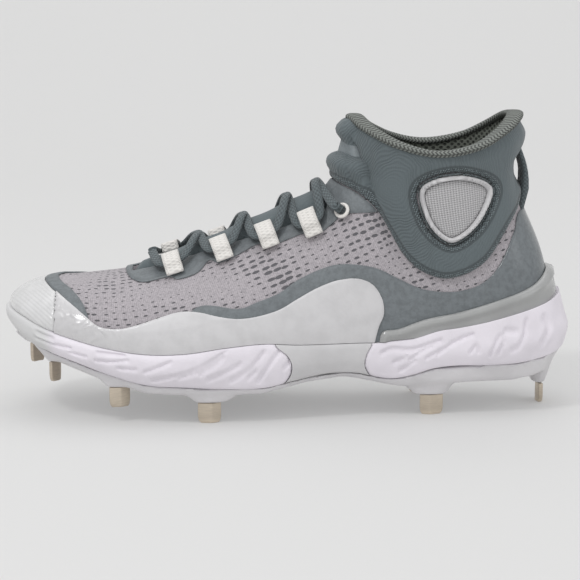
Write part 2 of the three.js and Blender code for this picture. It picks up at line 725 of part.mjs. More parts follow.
function bladePlan(stud, spread) {
  const half = studBladeThickness / 2;
  const turn = THREE.MathUtils.degToRad(stud.turn);
  const bend = THREE.MathUtils.degToRad(stud.bend);
  const outward = stud.y > 0 ? 1 : -1;
  const front = new THREE.Vector2(-Math.cos(turn + bend / 2), -outward * Math.sin(turn + bend / 2));
  const rear = new THREE.Vector2(Math.cos(turn - bend / 2), outward * Math.sin(turn - bend / 2));
  const square = (run) => new THREE.Vector2(-run.y, run.x);
  const frontSide = square(front).multiplyScalar(half);
  const rearSide = square(rear).multiplyScalar(-half);
  const middle = frontSide.clone().add(rearSide).normalize().multiplyScalar(half / Math.cos(bend / 2));
  const tipFront = front.clone().multiplyScalar(stud.front * studLength * spread);
  const tipRear = rear.clone().multiplyScalar(stud.rear * studLength * spread);
  return [middle, tipRear.clone().add(rearSide), tipRear.clone().sub(rearSide),
    middle.clone().negate(), tipFront.clone().sub(frontSide), tipFront.clone().add(frontSide)];
}

// Shares of the blade's length and arms from its foot to its seat
const bladeRings = [[0, 0.76], [0.1, 0.92], [0.3, 1], [1, 1]];

function makeStud(name) {
  const stud = studFacts(name);
  const rings = bladeRings.map(([rise, spread]) => bladePlan(stud, spread).map((p) => {
    return new THREE.Vector3(stud.x + p.x, stud.y + p.y, stud.tip + rise * studLength);
  }));
  return solidFrom(cappedRings(rings));
}

// Row whose section crosses a place along the shoe
function rowAt(x) {
  const at = Math.min(Math.max(x / upperLength + 0.5, 0.02), 0.985);
  const places = readColumn(lastRows, lastColumns, 'at');
  const after = places.findIndex((place) => place >= at);
  return after - 1 + (at - places[after - 1]) / (places[after] - places[after - 1]);
}

// A corner of a pad, drawn in to the plate's own edge and set halfway up the plate
function insidePlate(corner) {
  const s = rowAt(corner.x);
  const edge = value('sole', s) - padInset;
  const lateral = -ballWidth * (value('lateral', s) + edge);
  const medial = ballWidth * (value('medial', s) + edge);
  corner.y = Math.min(Math.max(corner.y, lateral), medial);
  corner.z = (soleZ('bottom', s) + soleZ('plate', s)) / 2;
  return corner;
}

// A pad tapers from the plate down to the seat of its stud
function makePad(name) {
  const stud = studFacts(name);
  const seat = stud.tip + studLength + clearance;
  const turn = THREE.MathUtils.degToRad(stud.turn) * (stud.y > 0 ? 1 : -1);
  const reach = Math.max(stud.front, stud.rear) * studLength + padMargin;
  const ring = (grow) => Array.from({ length: padCorners }, (_, i) => {
    const angle = (i / padCorners) * Math.PI * 2;
    const along = (reach + grow) * Math.cos(angle);
    const across = (studBladeThickness + padMargin + grow / 2) * Math.sin(angle);
    return new THREE.Vector3(stud.x + along * Math.cos(turn) - across * Math.sin(turn),
      stud.y + along * Math.sin(turn) + across * Math.cos(turn), seat);
  });
  return solidFrom(cappedRings([ring(0), ring(padTaper).map(insidePlate)]));
}

// Rings one above the other, closed by a fan at each end
function cappedRings(rings) {
  const count = rings[0].length;
  const points = rings.flat();
  const indices = [];
  for (let i = 0; i + 1 < rings.length; i += 1) {
    for (let j = 0; j < count; j += 1) {
      const next = (j + 1) % count;
      indices.push(i * count + j, i * count + next, (i + 1) * count + next);
      indices.push(i * count + j, (i + 1) * count + next, (i + 1) * count + j);
    }
  }
  const top = (rings.length - 1) * count;
  for (let j = 1; j + 1 < count; j += 1) {
    indices.push(0, j + 1, j);
    indices.push(top, top + j, top + j + 1);
  }
  return meshFrom(points, indices);
}

// Spot on the skin above a plan place, found by steps along the rib grid
function skinSpot(at, across, side) {
  const x = placeX(at);
  const y = side * across * ballWidth;
  let s = rowAt(x);
  let v = 0.85;
  const step = 0.01;
  for (let i = 0; i < 20; i += 1) {
    const here = ribPoint(s, side, v);
    const alongS = ribPoint(s + step, side, v).sub(here).divideScalar(step);
    const alongV = ribPoint(s, side, Math.min(v + step, 1)).sub(here).divideScalar(step);
    const det = alongS.x * alongV.y - alongS.y * alongV.x;
    const dx = x - here.x;
    const dy = y - here.y;
    s += (dx * alongV.y - dy * alongV.x) / det;
    v = Math.min(Math.max(v + (dy * alongS.x - dx * alongS.y) / det, 0.4), 0.98);
  }
  const normal = sideNormal(s, side, v);
  const along = ribPoint(s + step, side, v).sub(ribPoint(s - step, side, v));
  along.addScaledVector(normal, -along.dot(normal)).normalize();
  const inward = new THREE.Vector3().crossVectors(along, normal).multiplyScalar(side);
  return { point: ribPoint(s, side, v), normal, along, inward: inward.normalize() };
}

function placed(geometry, spot, lift) {
  const turn = new THREE.Matrix4().makeBasis(spot.inward, spot.normal.clone(),
    new THREE.Vector3().crossVectors(spot.inward, spot.normal));
  const centre = spot.point.clone().addScaledVector(spot.normal, lift);
  turn.setPosition(centre);
  return geometry.applyMatrix4(turn);
}

// A webbing loop folded over the lace: a flat ring seen along the throat
const loopInnerHeight = laceThickness + 4 * clearance;
const loopCorner = 0.4;
const loopSeat = overlayOuter + 3 * clearance;
const laceLift = loopSeat + webbingThickness + loopInnerHeight / 2;

function roundedBox(width, height, radius) {
  const shape = new THREE.Shape();
  const [x, y] = [width / 2, height / 2];
  shape.moveTo(-x + radius, -y);
  shape.lineTo(x - radius, -y);
  shape.absarc(x - radius, -y + radius, radius, -Math.PI / 2, 0);
  shape.lineTo(x, y - radius);
  shape.absarc(x - radius, y - radius, radius, 0, Math.PI / 2);
  shape.lineTo(-x + radius, y);
  shape.absarc(-x + radius, y - radius, radius, Math.PI / 2, Math.PI);
  shape.lineTo(-x, -y + radius);
  shape.absarc(-x + radius, -y + radius, radius, Math.PI, Math.PI * 1.5);
  return shape;
}

function makeWebbingLoop(place, side) {
  const height = loopInnerHeight + 2 * webbingThickness;
  const shape = roundedBox(webbingLength, height, height * loopCorner);
  const [x, y] = [webbingLength / 2 - webbingThickness, loopInnerHeight / 2];
  shape.holes.push(new THREE.Path().moveTo(-x, -y).lineTo(x, -y).lineTo(x, y).lineTo(-x, y));
  const sweep = { depth: webbingWidth, bevelEnabled: false, curveSegments: 1 };
  const geometry = new THREE.ExtrudeGeometry(shape, sweep);
  geometry.translate(0, 0, -webbingWidth / 2);
  return solidFrom(placed(geometry, skinSpot(...place, side), loopSeat + height / 2));
}

function makeEyelet(side) {
  const profile = [[eyeletHole, 0], [eyeletRadius, 0], [eyeletRadius, eyeletHeight - eyeletChamfer],
    [eyeletRadius - eyeletChamfer, eyeletHeight], [eyeletHole + eyeletChamfer, eyeletHeight],
    [eyeletHole, 0]];
  const geometry = new THREE.LatheGeometry(profile.map(([x, y]) => new THREE.Vector2(x, y)), 10);
  return solidFrom(placed(geometry, skinSpot(...eyeletPlace, side), loopSeat));
}

// Two lace runs cross the throat from loop to loop and end over the top eyelets. The first bar lies
// laceBarAhead in front of the first loops, the last crossing laceBarEnd in front of the eyelets, both
// as shares of upperLength, and each crossing is lifted by laceCrossingLift.
const laceBarAhead = 0.034;
const laceBarEnd = 0.028;
const laceCrossingAhead = 0.006;
const laceSide = 0.02;
const laceCrossingLift = 1.2;
const laceLoopReach = 0.75;

// The lace's last points from above the eyelet down into it: how far towards the throat as a share of
// eyeletRadius and how high as a share of laceThickness
const laceEnd = [[1.25, 0.95], [0.4, 0.8], [0, 0.1]];
const laceSides = 6;
const laceSteps = 42;

function lacePoints(firstSide) {
  const points = [];
  const frontBar = skinSpot(loopPlaces[0][0] - laceBarAhead, laceSide, firstSide);
  points.push(frontBar.point.clone().addScaledVector(frontBar.normal, laceLift + laceCrossingLift));
  let side = firstSide;
  loopPlaces.forEach((place, i) => {
    const spot = skinSpot(...place, side);
    const centre = spot.point.clone().addScaledVector(spot.normal, laceLift);
    points.push(centre.clone().addScaledVector(spot.along, -webbingWidth * laceLoopReach));
    points.push(centre.clone().addScaledVector(spot.along, webbingWidth * laceLoopReach));
    const next = loopPlaces[i + 1] ?? [eyeletPlace[0] - laceBarEnd, 0];
    const middle = skinSpot((place[0] + next[0]) / 2 + laceCrossingAhead, laceSide, side);
    points.push(middle.point.clone().addScaledVector(middle.normal, laceLift + laceCrossingLift));
    side = -side;
  });
  const eyelet = skinSpot(...eyeletPlace, side);
  const rim = eyelet.point.clone().addScaledVector(eyelet.normal, loopSeat + eyeletHeight);
  for (const [reach, lift] of laceEnd) {
    points.push(rim.clone().addScaledVector(eyelet.inward, reach * eyeletRadius)
      .addScaledVector(eyelet.normal, lift * laceThickness));
  }
  return points;
}

function makeLaceRun(firstSide) {
  const curve = new THREE.CatmullRomCurve3(lacePoints(firstSide));
  const shape = new THREE.Shape();
  for (let i = 0; i < laceSides; i += 1) {
    const angle = ((i + 0.5) / laceSides) * Math.PI * 2;
    const [x, y] = [Math.cos(angle) * laceThickness * 0.5, Math.sin(angle) * laceThickness * 0.5];
    if (i) shape.lineTo(x, y);
    else shape.moveTo(x, y);
  }
  const sweep = { steps: laceSteps, extrudePath: curve, bevelEnabled: false };
  return solidFrom(new THREE.ExtrudeGeometry(shape, sweep));
}

function makeLaces() {
  return makeLaceRun(-1).add(makeLaceRun(1));
}

// The pull loop stands off the hollow behind the heel, from one place up the rib to another
const pullLoopUp = [0.56, 0.60, 0.65, 0.70, 0.75, 0.80, 0.85];

function makePullLoop() {
  const seat = (v) => cuffFace(lastRow, v) + 2 * clearance;
  const [low, high] = [pullLoopUp[0], pullLoopUp[pullLoopUp.length - 1]];
  const stand = (v) => seat(v) + pullLoopGap * bump(v, (low + high) / 2, (high - low) / 2);
  const line = (lift) => pullLoopUp.map((v) => {
    const p = skinPoint(lastRow, 1, v, stand(v) + lift);
    return [p.x, p.z];
  });
  const outline = [...line(0), ...line(pullLoopThickness).reverse()];
  return sidePrism(outline, -pullLoopWidth / 2, pullLoopWidth / 2);
}

// The assembly
const shoe = new THREE.Group();
shoe.name = 'baseball_cleat';

function addPiece(name, solid, colour, roughness, metalness = 0) {
  const material = new THREE.MeshStandardMaterial({ color: colour, roughness, metalness });
  const mesh = new THREE.Mesh(geometryFrom(solid), material);
  mesh.name = name;
  mesh.position.z = studLength;
  shoe.add(mesh);
}

const sides = { lateral: -1, medial: 1 };

addPiece('upper', makeUpper(), colours.mesh, 0.9);
addPiece('tongue', makeTongue(), colours.overlay, 0.95);
addPiece('insole', makeInsole(), colours.insole, 0.95);

const foam = makeFoam();
const cuts = soleCuts();
addPiece('midsole_forefoot', foam.intersect(bothSides(cuts.forefoot)), colours.foam, 0.55);
addPiece('midfoot_bridge', foam.intersect(bothSides(cuts.bridge)), colours.bridge, 0.45);
addPiece('midsole_heel', foam.intersect(bothSides(cuts.heel)), colours.foam, 0.5);
addPiece('outsole_plate', makePlate(), colours.plate, 0.5);

addPiece('toe_cap', makeToeCap(), colours.film, 0.3);
addPiece('toe_trim', makeToeTrim(), colours.overlay, 0.6);
addPiece('quarter_overlay', makeQuarterOverlay(), colours.overlay, 0.4);
addPiece('eyestay', makeEyestay(), colours.overlay, 0.8);
addPiece('heel_clip', makeClip(), colours.clip, 0.3);
addPiece('cuff', makeCuff(), colours.cuff, 0.9);
addPiece('collar_binding', makeBinding(), colours.binding, 0.95);
addPiece('pull_loop', makePullLoop(), colours.cuff, 0.85);
addPiece('laces', makeLaces(), colours.lace, 0.9);

for (const [name, side] of Object.entries(sides)) {
  addPiece(`wing_${name}`, makeWing(side), colours.film, 0.3);
  addPiece(`pod_frame_${name}`, makePodFrame(side), colours.pod, 0.4);
  addPiece(`pod_panel_${name}`, makePodPanel(side), colours.pod, 0.8);
  addPiece(`eyelet_${name}`, makeEyelet(side), colours.webbing, 0.4);
  loopPlaces.forEach((place, i) => {
    addPiece(`lace_loop_${name}_${i + 1}`, makeWebbingLoop(place, side), colours.webbing, 0.8);
  });
}

for (const name of Object.keys(studRows)) {
  addPiece(name, makeStud(name), colours.metal, 0.35, 0.9);
}

// The origin lies on the floor under the middle of the shoe
const middle = new THREE.Box3().setFromObject(shoe).getCenter(new THREE.Vector3());
for (const mesh of shoe.children) {
  mesh.position.x -= middle.x;
  mesh.position.y -= middle.y;
}

export default shoe;
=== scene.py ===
"""Looks of the left baseball cleat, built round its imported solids."""
import math

import bmesh
import bpy
import numpy as np
from bpy.props import FloatProperty, FloatVectorProperty, IntProperty, PointerProperty
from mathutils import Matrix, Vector


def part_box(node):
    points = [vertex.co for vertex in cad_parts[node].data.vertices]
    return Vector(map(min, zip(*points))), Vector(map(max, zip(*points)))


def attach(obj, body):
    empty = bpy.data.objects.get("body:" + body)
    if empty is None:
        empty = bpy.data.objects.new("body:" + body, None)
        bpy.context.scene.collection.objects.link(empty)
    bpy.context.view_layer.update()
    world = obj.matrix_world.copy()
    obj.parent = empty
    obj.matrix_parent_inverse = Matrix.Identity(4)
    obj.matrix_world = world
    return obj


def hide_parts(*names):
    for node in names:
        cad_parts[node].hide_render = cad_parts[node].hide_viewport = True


bl_info = {
    "name": "Baseball cleat",
    "version": (1, 0, 0),
    "blender": (4, 5, 0),
    "location": "View3D > Sidebar > Cleat",
    "description": "Builds the looks of a mid-cut baseball cleat round its packed solids",
    "category": "Add Mesh",
}

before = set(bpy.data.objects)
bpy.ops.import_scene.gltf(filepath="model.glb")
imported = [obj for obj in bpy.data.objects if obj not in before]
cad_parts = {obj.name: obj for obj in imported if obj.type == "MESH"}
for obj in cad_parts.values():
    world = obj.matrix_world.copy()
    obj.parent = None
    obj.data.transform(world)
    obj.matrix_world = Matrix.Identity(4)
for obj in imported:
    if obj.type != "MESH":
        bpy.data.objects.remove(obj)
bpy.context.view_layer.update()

# The shoe is drawn in the same measures as its solids, in mm: toe at -X, lateral side at -Y, z 0 at
# the seats of the studs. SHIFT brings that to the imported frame.
UPPER_LENGTH = 286.0
BALL_WIDTH = 98.0
SOLE_HEIGHT = 30.0
INSTEP_HEIGHT = 80.5
ANKLE_HEIGHT = 37.0
STUD_LENGTH = 10.5
SHIFT = np.array([
    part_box("upper")[0].x * 1000 + UPPER_LENGTH / 2,
    sum(corner.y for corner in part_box("stud_heel_rear")) * 500,
    STUD_LENGTH,
])
MM = 0.001
SIDES = ((-1, "lateral"), (1, "medial"))
# Rows of the last at the front of the collar's rim and at the middle of the heel
COLLAR_ROW = 15
LAST_ROW = 23
# Gap between neighbours, the upper's wall, and the inner and outer faces of overlays and films
CLEARANCE = 0.3
UPPER_WALL = 2.0
OVERLAY = (0.3, 1.1)
FILM = (1.4, 2.2)

# The last, from the toe to the heel. Each row is a rib: its place, half widths, height and facing
# at the feather line, its top's place, offset, half width and height, and the pull of its curve
LAST_COLUMNS = (
    "at", "lateral", "medial", "base", "face", "topAt", "topMid", "topSide", "top", "lean",
    "rise", "reach", "drop",
)
LAST_ROWS = (
    (0.000, -0.06, 0.06, 1.52, 0, 0.115, 0.05, 0, 0.376, 0.02, 0.50, 0.17, 0.02),
    (0.008, 0.09, 0.20, 1.50, 25, 0.118, 0.05, 0, 0.378, 0.02, 0.50, 0.18, 0.02),
    (0.030, 0.21, 0.315, 1.43, 48, 0.125, 0.05, 0, 0.381, 0.02, 0.52, 0.20, 0.02),
    (0.070, 0.32, 0.40, 1.28, 65, 0.145, 0.045, 0, 0.381, 0.03, 0.55, 0.24, 0.02),
    (0.125, 0.40, 0.455, 1.13, 78, 0.180, 0.04, 0, 0.397, 0.03, 0.55, 0.26, 0.02),
    (0.185, 0.455, 0.485, 1.00, 86, 0.220, 0.03, 0, 0.422, 0.03, 0.52, 0.26, 0.03),
    (0.250, 0.49, 0.495, 0.92, 90, 0.268, 0.02, 0, 0.471, 0.02, 0.50, 0.24, 0.04),
    (0.320, 0.505, 0.485, 0.93, 90, 0.325, 0.01, 0, 0.546, 0.02, 0.48, 0.21, 0.05),
    (0.390, 0.50, 0.455, 1.02, 90, 0.390, 0, 0, 0.639, 0.01, 0.46, 0.18, 0.05),
    (0.460, 0.475, 0.415, 1.07, 90, 0.455, 0, 0, 0.739, 0.01, 0.45, 0.17, 0.05),
    (0.520, 0.445, 0.375, 1.03, 90, 0.510, 0, 0, 0.826, 0.01, 0.45, 0.17, 0.05),
    (0.570, 0.42, 0.35, 1.02, 90, 0.555, 0, 0, 0.901, 0.01, 0.44, 0.19, 0.05),
    (0.610, 0.405, 0.335, 1.02, 90, 0.595, 0, 0, 1.000, 0.01, 0.42, 0.24, 0.05),
    (0.640, 0.395, 0.33, 1.02, 92, 0.610, 0, 0, 1.270, 0.01, 0.40, 0.24, 0.08),
    (0.670, 0.39, 0.328, 1.02, 92, 0.622, 0, 0, 1.590, 0.01, 0.40, 0.22, 0.14),
    (0.700, 0.385, 0.326, 1.05, 92, 0.637, 0, 0, 1.880, 0.02, 0.38, 0.18, 0.22),
    (0.735, 0.38, 0.327, 1.08, 92, 0.665, 0, 0.165, 1.730, 0.02, 0.36, 0.02, 0.38),
    (0.775, 0.375, 0.33, 1.13, 92, 0.715, 0, 0.300, 1.540, 0.02, 0.34, 0.00, 0.40),
    (0.820, 0.37, 0.333, 1.18, 94, 0.780, 0, 0.345, 1.430, 0.02, 0.34, -0.01, 0.40),
    (0.870, 0.36, 0.33, 1.27, 102, 0.850, 0, 0.320, 1.520, 0.02, 0.36, -0.04, 0.40),
    (0.925, 0.325, 0.305, 1.40, 125, 0.905, 0, 0.235, 1.740, 0.02, 0.40, -0.09, 0.40),
    (0.968, 0.245, 0.235, 1.50, 150, 0.932, 0, 0.130, 1.880, 0.02, 0.40, -0.14, 0.40),
    (0.992, 0.13, 0.125, 1.57, 168, 0.941, 0, 0.050, 1.910, 0.02, 0.40, -0.165, 0.40),
    (1.000, 0, 0, 1.60, 180, 0.944, 0, 0, 1.920, 0.02, 0.40, -0.17, 0.40),
)
# The sole under each row of the last: heights as shares of SOLE_HEIGHT, reaches of BALL_WIDTH
SOLE_COLUMNS = ("bed", "bottom", "lip", "belly", "foot")
SOLE_ROWS = (
    (1.300, 1.18, 0.030, 0.030, -0.01), (1.280, 1.13, 0.030, 0.030, -0.01),
    (1.200, 0.98, 0.030, 0.032, -0.01), (1.070, 0.85, 0.030, 0.036, -0.01),
    (0.917, 0.70, 0.030, 0.040, 0), (0.800, 0.52, 0.032, 0.042, 0.01),
    (0.717, 0.36, 0.034, 0.045, 0.01), (0.700, 0.32, 0.034, 0.045, 0.01),
    (0.717, 0.28, 0.034, 0.042, 0.01), (0.750, 0.27, 0.034, 0.040, 0.01),
    (0.783, 0.37, 0.032, 0.032, 0), (0.817, 0.46, 0.032, 0.030, 0),
    (0.833, 0.48, 0.032, 0.030, 0), (0.850, 0.45, 0.032, 0.034, 0),
    (0.850, 0.39, 0.034, 0.040, 0.01), (0.850, 0.36, 0.036, 0.046, 0.02),
    (0.850, 0.42, 0.038, 0.052, 0.03), (0.850, 0.53, 0.040, 0.056, 0.03),
    (0.850, 0.57, 0.040, 0.058, 0.03), (0.850, 0.56, 0.044, 0.064, 0.03),
    (0.867, 0.58, 0.050, 0.080, 0.05), (0.900, 0.65, 0.056, 0.105, 0.08),
    (0.933, 0.72, 0.062, 0.122, 0.10), (0.950, 0.75, 0.064, 0.128, 0.105),
)

# Outlines of the panels: place along the shoe and height, both as shares
QUARTER_TOP = (
    (0.250, -0.04), (0.300, 0.10), (0.346, 0.255), (0.416, 0.242), (0.451, 0.280), (0.490, 0.329),
    (0.524, 0.404), (0.563, 0.466), (0.598, 0.503), (0.633, 0.503), (0.671, 0.478), (0.706, 0.416),
    (0.745, 0.354), (0.780, 0.329), (0.818, 0.329), (0.857, 0.366), (0.885, 0.441), (0.906, 0.553),
    (0.927, 0.702), (0.948, 0.820), (1.060, 0.800),
)
WING_TOP = (
    (0.087, 0.310), (0.119, 0.242), (0.140, 0.193), (0.168, 0.130), (0.203, 0.118), (0.238, 0.143),
    (0.273, 0.180), (0.311, 0.217), (0.346, 0.217), (0.381, 0.193), (0.416, 0.180), (0.451, 0.193),
    (0.490, 0.230), (0.524, 0.292), (0.559, 0.354), (0.598, 0.404), (0.633, 0.416), (0.661, 0.379),
    (0.678, 0.292), (0.682, 0.193), (0.671, 0.093), (0.661, -0.060),
)
CLIP_TOP = (
    (0.672, -0.060), (0.678, 0.070), (0.710, 0.093), (0.762, 0.155), (0.818, 0.193), (0.895, 0.267),
    (0.958, 0.340), (1.003, 0.441), (1.060, 0.480),
)
CUFF_LOW = (
    (0.540, 1.250), (0.580, 1.100), (0.608, 1.010), (0.640, 0.950), (0.668, 0.863), (0.685, 0.776),
    (0.703, 0.665), (0.720, 0.565), (0.745, 0.478), (0.773, 0.429), (0.801, 0.416), (0.839, 0.453),
    (0.874, 0.540), (0.906, 0.702), (0.930, 0.826), (0.955, 0.920), (1.060, 0.930),
)
EYESTAY_LOW = (
    (0.180, 0.60), (0.205, 0.460), (0.220, 0.395), (0.248, 0.375), (0.294, 0.410), (0.310, 0.400),
    (0.345, 0.440), (0.367, 0.510), (0.385, 0.500), (0.420, 0.550), (0.458, 0.615), (0.475, 0.600),
    (0.510, 0.645), (0.545, 0.690), (0.565, 0.680), (0.595, 0.760), (0.620, 0.820), (0.720, 0.830),
)
POD_WINDOW = (
    (0.741, 0.963), (0.762, 1.130), (0.815, 1.190), (0.868, 1.120), (0.885, 0.950), (0.853, 0.764),
    (0.818, 0.640), (0.790, 0.640), (0.762, 0.764),
)
BRIDGE_FRONT = (
    (0.440, -1.20), (0.450, -0.60), (0.466, -0.36), (0.4855, -0.292), (0.500, -0.246),
    (0.5095, -0.196), (0.5125, -0.146), (0.5106, -0.10), (0.5027, -0.05), (0.492, -0.017),
    (0.482, 0.02), (0.476, 0.10), (0.474, 0.60),
)
BRIDGE_REAR = (
    (0.730, -1.20), (0.715, -0.50), (0.695, -0.30), (0.677, -0.254), (0.661, -0.225),
    (0.6507, -0.175), (0.6473, -0.125), (0.6507, -0.063), (0.659, -0.009), (0.668, 0.058),
    (0.674, 0.13), (0.676, 0.60),
)
# Outlines seen from above: place along the shoe and share of the ball's width
TOE_EDGE = (
    (0.195, 0.56), (0.160, 0.43), (0.115, 0.31), (0.080, 0.194), (0.062, 0.061), (0.070, -0.100),
    (0.094, -0.245), (0.119, -0.388), (0.140, -0.56),
)
THROAT_HALF = ((0.226, 0.070), (0.300, 0.100), (0.400, 0.130), (0.500, 0.150), (0.585, 0.160))
TONGUE_HALF = ((0.205, 0.16), (0.300, 0.22), (0.400, 0.26), (0.500, 0.27), (0.600, 0.25))
LOOP_PLACES = ((0.303, 0.165), (0.392, 0.170), (0.474, 0.175), (0.554, 0.185))
EYELET_PLACE = (0.613, 0.230)


def smoothstep(x, low, high):
    share = np.clip((x - low) / (high - low), 0.0, 1.0)
    return share * share * (3 - 2 * share)


def read_curves():
    """Each column of the two tables, with one mirrored row past the toe and one past the heel."""
    last = {n: [row[i] for row in LAST_ROWS] for i, n in enumerate(LAST_COLUMNS)}
    sole = {n: [row[i] for row in SOLE_ROWS] for i, n in enumerate(SOLE_COLUMNS)}
    curves = {}
    for name, column in {**last, **sole}.items():
        before, after = column[1], column[-2]
        if name in ("lateral", "medial"):
            other = last["medial" if name == "lateral" else "lateral"]
            before, after = -other[1], -other[-2]
        elif name == "face":
            before, after = -column[1], 2 * column[-1] - column[-2]
        elif name == "topSide":
            after = -column[-2]
        curves[name] = np.array([before, *column, after], float)
    return curves


CURVES = read_curves()


def catmull(table, s):
    """Smooth curve through the rows of a table with one extra row at each end."""
    i = np.clip(np.floor(s).astype(int), 0, len(table) - 4)
    t = (s - i).reshape(np.shape(s) + (1,) * (table.ndim - 1))
    a, b, c, d = table[i], table[i + 1], table[i + 2], table[i + 3]
    return b + 0.5 * t * (c - a + t * (2 * a - 5 * b + 4 * c - d + t * (3 * (b - c) + d - a)))


def with_ends(table):
    """A table with one straight-on row before its first and after its last."""
    return np.concatenate([2 * table[:1] - table[1:2], table, 2 * table[-1:] - table[-2:-1]])


def closed_line(corners, count):
    """Smooth closed line through corners."""
    table = np.vstack([corners[-1:], corners, corners[:2]])
    return catmull(table, np.linspace(0, len(corners), count, endpoint=False))


def run_length(path):
    """Length along a path at each of its points."""
    return np.concatenate([[0], np.cumsum(np.linalg.norm(np.diff(path, axis=0), axis=1))])


def value(name, s):
    return catmull(CURVES[name], np.asarray(s, float))


def row_at(at):
    """Row of the last at a place along the shoe."""
    return np.interp(at, [row[0] for row in LAST_ROWS], range(LAST_ROW + 1))


def place_x(at):
    return (np.asarray(at, float) - 0.5) * UPPER_LENGTH


def height_of(up):
    up = np.asarray(up, float)
    return SOLE_HEIGHT + INSTEP_HEIGHT * np.minimum(up, 1) + ANKLE_HEIGHT * np.maximum(up - 1, 0)


def folded(p):
    """Signed row, lateral below 0 and medial above, folded back past the toe and past the heel."""
    p = np.asarray(p, float)
    side = np.where(p < 0, -1.0, 1.0)
    s = np.abs(p)
    return np.where(s > LAST_ROW, 2 * LAST_ROW - s, s), np.where(s > LAST_ROW, -side, side)


def base_point(p):
    s, side = folded(p)
    width = np.where(side < 0, value("lateral", s), value("medial", s))
    return np.stack([place_x(value("at", s)), side * BALL_WIDTH * width,
                     SOLE_HEIGHT * value("base", s)], -1)


def top_side(s):
    return np.where((s <= COLLAR_ROW) | (s >= LAST_ROW), 0.0, np.maximum(value("topSide", s), 0))


def top_point(p):
    s, side = folded(p)
    y = BALL_WIDTH * (value("topMid", s) + side * top_side(s))
    return np.stack([place_x(value("topAt", s)), y, height_of(value("top", s))], -1)


def rib_point(p, v):
    """Point on the last: v is 0 on the feather line and 1 on the ridge or the collar's rim."""
    s, side = folded(p)
    low, high = base_point(p), top_point(p)
    height = (high - low)[..., 2]
    face = np.radians(value("face", s))
    out = np.stack([-np.cos(face), side * np.sin(face), np.zeros_like(face)], -1)
    low_handle = low + out * (value("lean", s) * BALL_WIDTH)[..., None]
    low_handle[..., 2] += value("rise", s) * height
    high_handle = high + out * (value("reach", s) * BALL_WIDTH)[..., None]
    high_handle[..., 2] -= value("drop", s) * height
    v = np.asarray(v, float)[..., None]
    u = 1 - v
    return low * u ** 3 + low_handle * 3 * u * u * v + high_handle * 3 * u * v * v + high * v ** 3


def unit(vectors):
    return vectors / np.maximum(np.linalg.norm(vectors, axis=-1, keepdims=True), 1e-9)


def side_normal(p, v):
    step = 0.02
    at = np.clip(v, step, 1 - step)
    along = rib_point(p + step, at) - rib_point(p - step, at)
    up = rib_point(p, at + step) - rib_point(p, at - step)
    return unit(-np.cross(along, up))


def level_out(points_at, p, step):
    """Level direction out of the shoe, square to a line round it."""
    along = points_at(p + step) - points_at(p - step)
    along[..., 2] = 0
    along = unit(along)
    return np.stack([-along[..., 1], along[..., 0], np.zeros_like(along[..., 0])], -1)


def sole_out(p):
    return level_out(base_point, p, 0.02)


def rim_point(p):
    s, side = folded(p)
    s = np.where(s < COLLAR_ROW, 2 * COLLAR_ROW - s, s)
    side = np.where(np.abs(p) < COLLAR_ROW, -side, side)
    return top_point(side * s)


def rim_out(p):
    return level_out(rim_point, p, 0.05)


def skin_normal(p, v):
    """Outward direction, level at the feather line and the rim, shared along the ridge."""
    normal = side_normal(p, v)
    foot = (1 - smoothstep(v, 0, 0.07))[..., None]
    normal = unit(normal * (1 - foot) + sole_out(p) * foot)
    crown = smoothstep(v, 0.9, 1.0)[..., None]
    s = np.abs(p)
    ridge = unit(normal + side_normal(-p, v))
    top = np.where((s >= COLLAR_ROW)[..., None], rim_out(p), ridge)
    return unit(normal * (1 - crown) + top * crown)


# Columns that every vertex of a grid or patch has after its place, its outward direction and its
# place in the cloth: row of the last, share of the height, and on a patch the distance to its edge
ROW, UP, EDGE = 9, 10, -1


def line_steps(count):
    """Rows spaced evenly along the shoe at a third of its height."""
    s = np.linspace(0, LAST_ROW, 461)
    path = (rib_point(s, np.full_like(s, 0.3)) + rib_point(-s, np.full_like(s, 0.3))) / 2
    length = run_length(path)
    return np.interp(np.linspace(0, length[-1], count + 1), length, s), length[-1]


def last_grid(columns, rows, foot=False):
    """Quads over the whole last, closed at the toe, the heel and the ridge. Each vertex holds its
    place, outward direction, place in the cloth in mm (along, up, side), row and height share."""
    steps, girth = line_steps(columns)
    p_line = np.concatenate([-steps[1:-1][::-1], steps])
    v_line = np.linspace(0, 1, rows + 1)
    if foot:
        v_line = np.concatenate([[-1], v_line])
    p, v = np.meshgrid(p_line, v_line, indexing="ij")
    up = np.maximum(v, 0)
    points = rib_point(p, up)
    normals = skin_normal(p, up)
    drop = np.maximum(-v, 0)
    points[..., 2] += drop * (SOLE_HEIGHT * value("bed", np.abs(p)) + CLEARANCE - points[..., 2])
    climb = np.zeros_like(p)
    climb[:, 1:] = np.cumsum(np.linalg.norm(np.diff(points, axis=1), axis=2), axis=1)
    along = np.interp(np.abs(p), steps, np.linspace(0, girth, columns + 1))
    side = np.sign(p)
    data = np.concatenate([points, normals, np.stack([along, climb, side, np.abs(p), v], -1)], -1)
    count, high = p.shape
    index = np.arange(count * high).reshape(count, high)
    mirror = index[::-1, -1]
    ridge = np.abs(p_line) <= COLLAR_ROW
    ids = index.copy()
    ids[:-1, -1] = np.where(ridge[:-1], np.minimum(index[:-1, -1], mirror[1:]), index[:-1, -1])
    after = np.roll(ids, -1, axis=0)
    quads = np.stack([after[:, :-1], ids[:, :-1], ids[:, 1:], after[:, 1:]], -1).reshape(-1, 4)
    return data.reshape(-1, data.shape[-1]), quads


def smooth_line(points, steps=6):
    s = np.linspace(0, len(points) - 1, (len(points) - 1) * steps + 1)
    return catmull(with_ends(np.array(points, float)), s)


